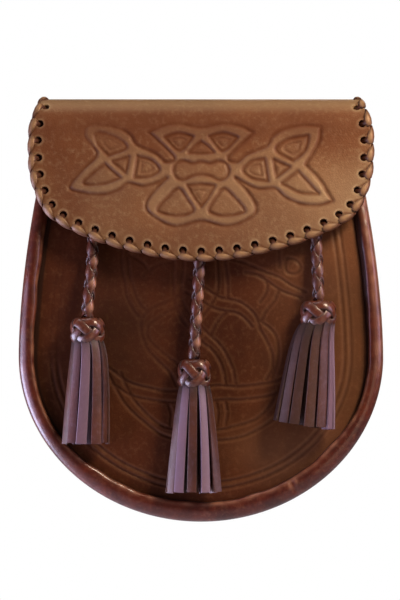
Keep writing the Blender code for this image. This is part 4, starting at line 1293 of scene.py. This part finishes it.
def knot_lines():
    """The closed lines of the fields and the outline, and the smaller ones inside some fields."""
    loops = [mirrored_loop(half) for half in [*MIDDLE_FIELDS, KNOT_OUTLINE]]
    double = [number in DOUBLE_MIDDLE for number in range(len(loops))]
    for side in (-1, 1):
        loops += [np.array(field, float) * (side * MM, MM) for field in SIDE_FIELDS]
        double += [number in DOUBLE_SIDE for number in range(len(SIDE_FIELDS))]
    loops = [hand_drawn(worn_round(loop)) for loop in loops]
    lines = [smooth_curve(loop, 7, closed=True) for loop in loops]
    inner = []
    for loop, has_inner in zip(loops, double):
        if has_inner:
            middle = (loop.max(0) + loop.min(0)) / 2
            inner.append(smooth_curve(middle + (loop - middle) * INNER_SIZE, 5, closed=True))
    return lines, inner


field_lines, inner_lines = knot_lines()
print("knotwork:", len(field_lines), "closed lines and", len(inner_lines), "inner ones")

# %% Strands and grooves
GROOVE_WIDTH, INNER_WIDTH = 0.94 * MM, 0.8 * 0.94 * MM
INNER_SHARE = 0.5  # how deep an inner line is, against the others
STRAND_ROUND = 1.7 * MM  # over this width a strand rounds down to its line


def inside_of(points, loop):
    """Whether each (x, drop) point lies inside a closed line."""
    x, drop = points.T
    odd = np.zeros(len(points), bool)
    for (x1, drop1), (x2, drop2) in zip(loop, loop[1:]):
        if drop1 != drop2:
            level = (drop1 > drop) != (drop2 > drop)
            odd ^= level & (x < (x2 - x1) * (drop - drop1) / (drop2 - drop1) + x1)
    return odd


def strand_height(points):
    """1 on the middle of a strand, 0 outside the knot and on its lines, -1 inside a field."""
    fields = [inside_of(points, loop) for i, loop in enumerate(field_lines) if i != OUTLINE]
    in_field = np.any(fields, axis=0)
    in_knot = inside_of(points, field_lines[OUTLINE])
    rise = smooth_step(nearest_of(points, field_lines) / STRAND_ROUND)
    return rise * np.where(in_field, -1.0, in_knot)


def groove_of(points):
    """How deep the tooling is at front-view points: 1 at the bottom of a line."""
    outer = bell(nearest_of(points, field_lines), GROOVE_WIDTH)
    inner = INNER_SHARE * bell(nearest_of(points, inner_lines), INNER_WIDTH)
    x, drop = points.T / MM
    faint = 0.7 * smooth_step((-33 - x) / 8) * smooth_step((27 - drop) / 6)  # one leaf on the left
    faint = np.maximum(faint, 0.5 * smooth_step((18 - drop) / 4))
    ripple = np.sin(x / 1.9 + 2 * np.sin(drop / 2.7)) * np.sin(drop / 1.6 + np.sin(x / 3.1))
    return np.maximum(outer, inner) * (1 - faint) * (0.82 + 0.18 * ripple)


# %% Flap mesh
GROOVE_DEPTH, STRAND_RISE, FIELD_SINK, WAVE = 0.78 * MM, 0.38 * MM, 0.12 * MM, 0.25 * MM
TOOLED_FRONT = -15 * MM  # only what lies in front of this Y is tooled
FLAP_COLUMNS = 321
TAIL_SHARE = 0.36  # of the way down, where the fold ends and the tooled front begins
TAIL_ROWS, FRONT_ROWS = 37, 156


def tool_flap(face):
    points = face.reshape(-1, 3)
    flat = front_view(points)
    strand = strand_height(flat)
    x, drop = flat.T / MM
    wave = np.sin(x / 15 + 0.8) * np.sin(drop / 11 + 0.4) + 0.6 * np.sin(x / 7.3 - drop / 9.1)
    relief = STRAND_RISE * np.maximum(strand, 0) + FIELD_SINK * np.minimum(strand, 0)
    relief += WAVE * wave - GROOVE_DEPTH * groove_of(flat)
    relief[points[:, 1] > TOOLED_FRONT] = 0
    return relief.reshape(face.shape[:2])


down = np.concatenate([
    np.linspace(0, TAIL_SHARE, TAIL_ROWS)[:-1], np.linspace(TAIL_SHARE, 1, FRONT_ROWS)])
down = np.interp(rows_for(down), np.linspace(0, 1, len(down)), down)
mesh = plate_mesh("tooled_flap", place_flap, np.linspace(-1, 1, FLAP_COLUMNS), down,
                  FLAP_THICKNESS, tool_flap, radius=0.8 * MM)
flap = add_piece("tooled_flap", mesh, flap_finish)

# %% Punched holes
HOLE_RADIUS = 1.85 * MM
PUNCH_REACH = 1.5 * FLAP_THICKNESS

work = bmesh.new()
low = lace_point(hole_distances, np.zeros(LACE_HOLES), -PUNCH_REACH)
high = lace_point(hole_distances, np.zeros(LACE_HOLES), PUNCH_REACH)
for foot, top in zip(low, high):
    axis = Vector(top - foot)
    turn = axis.to_track_quat("Z", "Y").to_matrix().to_4x4()
    bmesh.ops.create_cone(
        work, cap_ends=True, segments=20, radius1=HOLE_RADIUS, radius2=HOLE_RADIUS,
        depth=axis.length, matrix=Matrix.Translation(Vector(foot + top) / 2) @ turn)
punch = add_object("punch", mesh_from(work, "punch"))
holes = flap.modifiers.new("punched holes", "BOOLEAN")
holes.operation = "DIFFERENCE"
holes.solver = "MANIFOLD"
holes.object = punch
graph = bpy.context.evaluated_depsgraph_get()
mesh = bpy.data.meshes.new_from_object(flap.evaluated_get(graph))
mesh.name = "tooled_flap"
bpy.data.objects.remove(flap)
bpy.data.objects.remove(punch)

# %% Distances on the flap
EDGE_POINTS, LACE_POINTS = 500, 9


def distance_to(places, points):
    """Distance of each place in space to the nearest of the points."""
    return np.min([np.linalg.norm(places - point, axis=1) for point in points], axis=0)


place = corners_of(mesh)
flat = front_view(place)
in_front = place[:, 1] < TOOLED_FRONT
to_hole = distance_to(place, (low + high) / 2)
edge_points = flap_edge.at(np.linspace(0, flap_edge.length, EDGE_POINTS))
to_edge = distance_to(place, fold(*edge_points.T, np.zeros(EDGE_POINTS)))
share = np.linspace(0, 1, LACE_POINTS)
# Points along the side of each lace turn, where painted shade is laid on the flap beside it.
beside = [
    lace_point(distance + blend(0.20, 0.66, share) * LACE_PITCH, blend(0.2, 4.0, share) * MM,
               FLAP_THICKNESS / 2)
    for distance in hole_distances]
to_lace = distance_to(place, np.concatenate(beside))

# %% Wear, painted light and painted shade on the flap
# A darker band just below the crest.
band_below_crest = 0.5 * bell(flat[:, 1] - 14 * MM, 7.5 * MM) * in_front
tooled = np.where(in_front, groove_of(flat), 0)
# Darker: dirt in the tooled grooves, the band below the crest, painted shade along each lace where
# it leaves the flap, and painted shade on the walls of the holes.
tooled = np.maximum.reduce([
    np.clip(0.90 * tooled + band_below_crest, 0, 1), 0.9 * bell(to_lace, 0.7 * MM),
    1 - smooth_step((to_hole - HOLE_RADIUS) / (0.35 * MM))])
paint_attribute(mesh, "tooled", tooled)
strand = strand_height(flat)
# A painted highlight on the raised strands, and a weaker one inside the fields.
strand_highlight = np.where(strand > 0, strand, -0.4 * strand) * in_front
beside_hole = bell(to_hole - HOLE_RADIUS - 0.8 * MM, 0.5 * MM)
# A painted sheen on the lower flap, stronger towards the right and faint on the far left.
to_right = flat[:, 0] / (70 * MM)
painted_sheen = 0.28 + 0.13 * to_right + 0.50 * to_right**2
painted_sheen *= 1 - 0.8 * smooth_step((-0.65 - to_right) / 0.3)
painted_sheen *= smooth_step((flat[:, 1] - 20 * MM) / (26 * MM)) * in_front
# A painted highlight along the crest, where the fold faces up to the light.
crest_highlight = 0.5 * smooth_step((8.5 * MM - flat[:, 1]) / (6 * MM))
# The flap is lightened by painted highlights on the strands and the crest, a painted sheen, real
# wear along the edge and lighter rings round the holes.
lightened = np.maximum.reduce([
    0.22 * strand_highlight, 0.3 * np.exp(-to_edge / (2.0 * MM)), 0.45 * beside_hole])
paint_attribute(mesh, "rubbed", np.clip(lightened + 0.42 * painted_sheen + crest_highlight, 0, 1))
hand_over(add_piece("tooled_flap", mesh, flap_finish), "flap_leather", "flap")

# %% [markdown]
# ## Whip lacing
# One long flat lace goes up through a hole, slants over the edge, behind the flap and up through
# the next hole. A table gives one turn, and every turn of the edge repeats it. The smooth curve
# runs through all of them at once, in the table's own terms, and only then is it laid on the
# folded flap. The lace's width lies along the edge, so that it hugs the edge where it folds over
# it. It is narrowed in the holes, where it is bunched, and painted dark there and behind the edge,
# as painted shade.

# %% One turn of the lace
LACE_WIDTH, LACE_THICKNESS, LACE_GAP = 8.4 * MM, 1.0 * MM, 0.35 * MM
LACE_CURL = 40.0
LACE_OFF = FLAP_THICKNESS / 2 + LACE_GAP + LACE_THICKNESS / 2
LACE_BEYOND = LACE_MARGIN + LACE_GAP + LACE_THICKNESS / 2
TURN = [  # along the edge (of a pitch), out, height, facing (of pi), width share, painted shade, lightening
    (0.00, 0.2 * MM, 0.0, 0.82, 0.34, 1.0, 0.0),
    (0.03, 1.4 * MM, 0.70 * LACE_OFF, 0.72, 0.36, 1.0, 0.0),
    (0.11, 2.3 * MM, 0.98 * LACE_OFF, 0.54, 0.70, 0.1, 0.5),
    (0.20, 3.6 * MM, 0.94 * LACE_OFF, 0.38, 0.92, 0.0, 0.45),
    (0.30, LACE_BEYOND, 0.40 * LACE_OFF, 0.12, 1.0, 0.35, 0.0),
    (0.42, LACE_BEYOND, -0.40 * LACE_OFF, -0.12, 1.0, 0.8, 0.0),
    (0.52, 3.6 * MM, -0.94 * LACE_OFF, -0.38, 0.96, 0.0, 0.0),
    (0.90, 0.5 * MM, -0.96 * LACE_OFF, -0.50, 0.70, 0.3, 0.0),
    (0.99, -1.7 * MM, -0.94 * LACE_OFF, -0.74, 0.56, 1.0, 0.0),
]
LAST_TURN = 2  # the points of the last turn: the lace ends just above its hole

# %% Lacing
turns = []
for number, distance in enumerate(hole_distances):
    for along, out, height, facing, *rest in TURN:
        turns.append((
            distance + along * LACE_PITCH, out, height, (facing - 2 * number) * pi, *rest))
turns = smooth_curve(turns[: LAST_TURN - len(TURN)], 4)
along, out, height, facing, share, dark, lightened = turns.T
centre = lace_point(along, out, height)
step = 0.4 * MM
edgewise = (lace_point(along + step, out, height) - centre) / step
outward = (lace_point(along, out + step, height) - centre) / step
upward = (lace_point(along, out, height + step) - centre) / step
facing = outward * np.cos(facing)[:, None] + upward * np.sin(facing)[:, None]
# The lace is painted dark as shade in the holes and behind the edge.
lace_path = path_of(centre, facing, unit(edgewise), share=share, rubbed=np.clip(lightened, 0, 1),
                    tooled=np.clip(dark, 0, 1))
mesh = strap_mesh("whip_lace", [lace_path], LACE_WIDTH, LACE_THICKNESS, lace_finish,
                  radius=0.4 * MM, curl=LACE_CURL, darkening=0.9, cuts=2)
hand_over(add_piece("whip_lace", mesh, lace_finish), "lace_leather", "flap_lacing")

# %% [markdown]
# ## Tassels
# Each tassel hangs from a tab under the flap by a round braid of four thin straps, has a woven
# knot of the Turk's head kind, and ends in a bunch of cut strips. The routes are the ones of the
# solids.

# %% Tassel sizes
KNOT_FLATTENING = 0.8
Tassel = namedtuple("Tassel", "name route knot fringe end slant seed tones wear")
# In millimetres: route is x, y and drop, knot is half width and height, fringe is x and half width
# at its top, and end is x, half width and drop. The five numbers after the seed are the painted
# light and shade of the strips, from left to right, and the last pair is the strength of the
# painted highlight on the braid and how much darker the braid is made.
TASSELS = [
    Tassel("left", route=[
        (-52.6, -28.9, 62.5), (-53.0, -30.6, 73.0), (-53.7, -32.5, 85.0), (-54.9, -34.7, 97.0),
        (-55.5, -35.4, 103.0), (-55.6, -35.5, 107.3),
    ], knot=(8.6, 13.6), fringe=(-54.6, 8.3), end=(-56.3, 11.2, 169.8), slant=0.0, seed=3,
        tones=(-0.5, 0.4, 1.0, -0.1, -0.7), wear=(0.80, 0.0)),
    Tassel("middle", route=[
        (-0.5, -30.4, 68.0), (-0.8, -32.1, 80.0), (-1.5, -33.7, 95.0), (-2.5, -35.1, 110.0),
        (-3.2, -35.9, 122.5), (-3.3, -36.0, 127.7),
    ], knot=(8.3, 15.2), fringe=(-3.4, 8.1), end=(-3.9, 13.6, 193.6), slant=0.0, seed=8,
        tones=(-0.7, 1.0, -0.4, 0.8, -0.7), wear=(0.70, 0.0)),
    Tassel("right", route=[
        (56.1, -27.7, 56.0), (56.3, -29.6, 66.0), (56.8, -31.8, 77.0), (57.2, -34.3, 87.0),
        (57.4, -35.9, 94.5), (57.4, -36.0, 99.0),
    ], knot=(9.0, 13.6), fringe=(54.6, 9.4), end=(50.3, 15.0, 160.6), slant=0.17, seed=5,
        tones=(-1.0, -1.0, -0.4, -0.8, 1.0), wear=(0.40, 0.40)),
]


def route_of(tassel):
    """The braid's route in space, which stops just short of the knot."""
    points = np.array(tassel.route) * MM
    points[:, 2] = CREST_Z - points[:, 2]
    points[-1] += unit(points[-2] - points[-1]) * 1.5 * GAP
    return points


# %% Braid
BRAID_RADIUS, BRAID_WEAVE = 2.02 * MM, 0.66 * MM
BRAID_PITCH = 23 * MM  # one full turn of a strap
BRAID_STRAP, BRAID_THICKNESS = 4.6 * MM, 0.95 * MM
BRAID_CURL = 125.0
BRAID_CORE = 3.0 * MM
BRAID_GLINT = np.array((0.62, -0.78, 0.0))  # the side towards which a highlight is painted on the braid
BRAID_TURN = 0.25 * pi  # the straps cross beside the middle line, so that they meet in Vs on it


def braid_paths(trace, wear):
    """Two straps that turn each way, over and under each other, and the core inside them."""
    glint, darkening = wear
    distance = np.linspace(0, trace.length, int(trace.length / (0.5 * MM)))
    centre, along = trace.at(distance), trace.direction(distance)
    side = unit(np.cross(along, (0, 1, 0)))
    front = np.cross(side, along)
    turn = 2 * pi * distance / BRAID_PITCH
    paths = []
    for way in (-1, 1):
        for number in (0, 1):
            angle = way * turn + number * pi + BRAID_TURN
            radius = BRAID_RADIUS + way * BRAID_WEAVE * np.cos(2 * turn)
            facing = side * np.cos(angle)[:, None] + front * np.sin(angle)[:, None]
            on_top = np.clip(way * np.cos(2 * turn), 0, 1)
            # A painted highlight on the straps that lie on top and face the highlight side.
            rubbed = glint * on_top * np.clip(facing @ BRAID_GLINT, 0, 1) ** 9
            paths.append(path_of(
                centre + facing * radius[:, None], facing, rubbed=rubbed, tooled=darkening))
    # The core is painted fully dark, as painted shade between the straps.
    return paths, path_of(centre, front, tooled=1.0)


def braid_mesh(name, trace, wear):
    paths, core = braid_paths(trace, wear)
    straps = strap_mesh(f"{name}_straps", paths, BRAID_STRAP, BRAID_THICKNESS, braid_finish,
                        radius=0.44 * MM, curl=BRAID_CURL, darkening=0.85, cuts=2)
    inside = strap_mesh(f"{name}_core", [core], BRAID_CORE, BRAID_CORE, braid_finish,
                        radius=0.45 * BRAID_CORE)
    return joined(f"{name}_braid", [straps, inside])


# %% Woven knot
KNOT_LEADS, KNOT_BIGHTS = 3, 5
KNOT_STRAP, KNOT_THICKNESS, KNOT_WEAVE = 4.5 * MM, 1.2 * MM, 0.5 * MM
KNOT_CURL = 95.0
KNOT_WAIST = 0.12  # how much narrower the knot is at its ends
CORE_SIDES, CORE_RINGS, CORE_INSET = 32, 13, 1.9 * MM
CORE_REACH = 0.47  # of the height, up and down from the middle
CORE_DRAWN_IN = 0.25  # by this share, at both ends


def waisted(level):
    """How wide the knot is at a level, given as a share of its height from the middle."""
    return 1 - KNOT_WAIST + KNOT_WAIST * np.cos(level * pi)


def knot_core(name, middle, half, height):
    """A plain barrel that fills the knot, drawn in at both ends."""
    around = np.linspace(0, 2 * pi, CORE_SIDES, endpoint=False)
    rings = []
    for level in np.linspace(-CORE_REACH, CORE_REACH, CORE_RINGS):
        ring = (half - CORE_INSET) * waisted(level)
        ring *= 1 - CORE_DRAWN_IN * (abs(level) == CORE_REACH)
        rings.append(middle + np.stack([
            ring * np.cos(around), KNOT_FLATTENING * ring * np.sin(around),
            np.full(CORE_SIDES, level * height)], axis=-1))
    corner = np.arange(CORE_RINGS * CORE_SIDES).reshape(CORE_RINGS, CORE_SIDES)
    after = np.roll(corner, -1, axis=1)
    quads = np.stack([corner[:-1], after[:-1], after[1:], corner[1:]], axis=-1)
    faces = quads.reshape(-1, 4).tolist() + [corner[0].tolist(), corner[-1].tolist()]
    return mesh_of(name, np.array(rings), faces)


def knot_mesh(tassel):
    """A closed strap that goes three times round a barrel, over and under itself."""
    x, y, drop = np.array(tassel.route[-1]) * MM
    half, height = np.array(tassel.knot) * MM
    middle = np.array([x, y, CREST_Z - drop - height / 2])
    s = np.linspace(0, 2 * pi, 360, endpoint=False)
    level = (height - KNOT_STRAP) / 2 * np.cos(KNOT_BIGHTS * s)
    radius = (half - KNOT_WEAVE - KNOT_THICKNESS / 2) * waisted(level / height)
    radius += KNOT_WEAVE * np.sin(2 * KNOT_BIGHTS * s)
    cos, sin = np.cos(KNOT_LEADS * s), np.sin(KNOT_LEADS * s)
    points = middle + np.stack([radius * cos, KNOT_FLATTENING * radius * sin, level], axis=-1)
    facing = np.stack([cos, sin / KNOT_FLATTENING, 1.8 * level / height], axis=-1)
    name = f"tassel_{tassel.name}_woven_knot"
    straps = strap_mesh(name, [path_of(points, facing, closed=True)], KNOT_STRAP, KNOT_THICKNESS,
                        braid_finish, radius=0.5 * MM, curl=KNOT_CURL, darkening=0.85, cuts=2)
    return joined(name, [straps, knot_core(name + "_core", middle, half, height)])


# %% Shape of a fringe
STRIP_WIDTH, STRIP_THICKNESS, STRIP_SPACING = 5.05 * MM, 1.15 * MM, 6.1 * MM
STRIPS_INNER, INNER_RING = 8, 0.62
STRIP_POINTS = 22
FRINGE_FLARE, FRINGE_BELLY = 1.3, 0.6 * MM
FRINGE_TUCK = 2.5 * MM  # how far the strips reach up into the knot
FRINGE_GATHER = 0.16  # how much narrower the bunch is where the knot draws it together

DOWN = np.linspace(0, 1, STRIP_POINTS)  # shares of a strip's length
GATHERED = np.exp(-DOWN / 0.10)


def fringe_sizes(tassel):
    """X of the bunch's middle, its half width and its half depth, from its top down."""
    knot_half = tassel.knot[0]
    top_x, top_half = tassel.fringe
    end_x, end_half, _ = tassel.end
    spread = DOWN**FRINGE_FLARE
    x = blend(blend(top_x, end_x, spread) * MM, tassel.route[-1][0] * MM, GATHERED)
    half = blend(top_half, end_half, spread) * MM + FRINGE_BELLY * np.sin(pi * DOWN)
    depth = KNOT_FLATTENING * blend(top_half, knot_half, DOWN) * MM
    depth = np.minimum(depth, KNOT_FLATTENING * knot_half * MM)
    narrowed = 1 - FRINGE_GATHER * GATHERED
    return x, half * narrowed, depth * narrowed


# %% Cut strips
STRIP_DRIFT = 0.8 * MM  # sideways, at the end
STRIP_SHORTENING = 60 * MM  # what the drawn share is a share of
STRIP_LEAN = radians(10)  # how far each strip overlaps the next like a slat, at the top


def turned(flat, angle):
    """Flat directions, turned by an angle about the vertical."""
    x, y = flat.T
    return np.stack([
        x * np.cos(angle) - y * np.sin(angle), x * np.sin(angle) + y * np.cos(angle),
        np.zeros(len(flat))], axis=-1)


def strip_path(tassel, draw, angle, share):
    """One strip of the ring that lies at this share of the bunch's size."""
    length = 1 - draw.uniform(0, 0.018)
    drift = draw.uniform(-1, 1) * STRIP_DRIFT * DOWN**2
    lean = STRIP_LEAN * (1 - 0.7 * DOWN) + radians(draw.uniform(-22, 22)) * (0.3 + 0.7 * DOWN)
    inward = STRIP_THICKNESS / 2 + draw.uniform(0, 0.7) * MM * DOWN
    centre_x, half, depth = fringe_sizes(tassel)
    _, end_y, end_drop = np.array(tassel.route[-1]) * MM
    rx, ry = half * share - inward, depth * share - inward
    tangent = unit(np.stack([-rx * np.sin(angle), ry * np.cos(angle)], axis=-1))
    x = centre_x + rx * np.cos(angle) + tangent[:, 0] * drift
    y = end_y + ry * np.sin(angle) + tangent[:, 1] * drift
    top = end_drop + tassel.knot[1] * MM - FRINGE_TUCK
    bottom = tassel.end[2] * MM + (x[-1] - centre_x[-1]) * tassel.slant
    drop = blend(top, bottom - (1 - length) * STRIP_SHORTENING, DOWN)
    width = draw.uniform(0.92, 1.06) * blend(0.78, 1.0, DOWN)
    # Painted light and shade by the strip's side of the bunch: a lilac reflection where it turns
    # to the side lights, darker where it turns away.
    lighting = np.interp(np.cos(angle), np.linspace(-1, 1, len(tassel.tones)), tassel.tones)
    lighting += draw.uniform(-0.15, 0.15)
    # Painted shade: at the top, under the knot, on the inner ring behind the outer one, and on
    # strips turned away from the light.
    darkening = np.exp(-DOWN / 0.07) + (0.8 if share < 1 else 0.75 * max(0, -lighting))
    return path_of(np.stack([x, y, CREST_Z - drop], axis=-1), turned(-quarter_turn(tangent), lean),
                   share=width, rubbed=max(0, lighting), tooled=np.clip(darkening, 0, 1))


def fringe_mesh(tassel):
    """Strips in two rings; they part towards the end, and take painted light and shade from left
    to right.
    """
    draw = np.random.default_rng(tassel.seed)
    _, half, depth = fringe_sizes(tassel)
    round_end = 2 * pi * np.sqrt((half[-1] ** 2 + depth[-1] ** 2) / 2)
    paths = []
    for count, share, shift in ((round(round_end / STRIP_SPACING), 1.0, 0.25),
                                (STRIPS_INNER, INNER_RING, 0.0)):
        for number in range(count):
            angle = 2 * pi * (number + shift + draw.uniform(-0.10, 0.10)) / count
            paths.append(strip_path(tassel, draw, angle, share))
    print("tassel", tassel.name, "strips", len(paths))
    return strap_mesh(f"tassel_{tassel.name}_strips", paths, STRIP_WIDTH, STRIP_THICKNESS,
                      strip_finish, radius=0.3 * MM)


# %% Tabs
TAB_SIZE = Vector((9 * MM, 6.2 * MM, 8 * MM))
TAB_ROUNDING = 1.2 * MM


def tab_mesh(tassel):
    """A rounded block of folded leather in line with the braid."""
    top, second = (Vector(point) for point in route_of(tassel)[:2])
    upward = (top - second).normalized()
    front = upward.cross(Vector((1, 0, 0))).normalized()
    turn = Matrix((front.cross(upward), front, upward)).transposed().to_4x4()
    middle = top + upward * (GAP + TAB_SIZE.z / 2)
    work = bmesh.new()
    size = Matrix.Diagonal((*TAB_SIZE, 1.0))
    bmesh.ops.create_cube(work, size=1, matrix=Matrix.Translation(middle) @ turn @ size)
    bmesh.ops.bevel(work, geom=work.edges[:], offset=TAB_ROUNDING, segments=5, profile=0.5,
                    affect="EDGES")
    return mesh_from(work, f"tassel_{tassel.name}_holder")


# %% The three tassels
for tassel in TASSELS:
    name = f"tassel_{tassel.name}"
    holder = add_piece(f"{name}_holder", tab_mesh(tassel), body_finish)
    hand_over(holder, "body_leather", f"{name}_tab")
    knot = add_piece(f"{name}_woven_knot", knot_mesh(tassel), braid_finish)
    hand_over(knot, "tassel_leather", f"{name}_knot")
    strips = add_piece(f"{name}_strips", fringe_mesh(tassel), strip_finish)
    hand_over(strips, "tassel_leather", f"{name}_fringe")
    trace = Trace(smooth_curve(route_of(tassel), 12))
    braid = add_piece(f"{name}_braid", braid_mesh(name, trace, tassel.wear), braid_finish)
    hand_over(braid, "tassel_leather", f"{name}_cord")
    route = trace.at(np.linspace(0, trace.length, 24))
    print(name, "braid length", round(trace.length / MM, 1), "mm")

# %% [markdown]
# ## Thread
# The seams that were noted down on the way are now sewn, one piece of thread for each sewn part.

# %% Seams
for sewn, paths in seams.items():
    mesh = grown_mesh(
        f"{sewn}_thread", paths_mesh(f"{sewn}_seams", paths), STITCH_TREE, Pitch=STITCH_PITCH,
        Stitch_Length=STITCH_LENGTH, Thread=THREAD_WIDTH, Finish=thread_finish)
    hand_over(add_piece(f"{sewn}_thread", mesh, thread_finish), "body_leather")

# %% [markdown]
# ## Stud
# The closure under the flap is a small turned stud. Its solid already has the right shape, so it
# stays, and gets the metal it needs: brass that has gone dull and dark in its recesses.

# %% Aged brass
DARK_BRASS, BRIGHT_BRASS = (0.16, 0.095, 0.035), (0.58, 0.39, 0.15)
TARNISH, SCRATCHES = 320.0, 2400.0  # patches for each metre


def brass_finish():
    material, tree, shader = new_material("aged brass")
    place = add_node(tree, "ShaderNodeTexCoord").outputs["Object"]
    tarnish = add_node(tree, "ShaderNodeTexNoise", {
        "Vector": place, "Scale": TARNISH, "Detail": 6.0, "Roughness": 0.65}).outputs["Fac"]
    scratches = add_node(tree, "ShaderNodeTexNoise", {
        "Vector": place, "Scale": SCRATCHES, "Detail": 2.0}).outputs["Fac"]
    set_inputs(tree, shader, {
        "Base Color": mix_colour(
            tree, ranged(tree, tarnish, 0.35, 0.68), DARK_BRASS, BRIGHT_BRASS),
        "Roughness": ranged(tree, tarnish, 0.3, 0.7, 0.5, 0.24),
        "Normal": add_node(tree, "ShaderNodeBump", {
            "Height": scratches, "Distance": 0.03 * MM}).outputs["Normal"],
        "Metallic": 1.0})
    return material


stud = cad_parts["closure_stud"]
stud.data.materials.clear()
stud.data.materials.append(brass_finish())
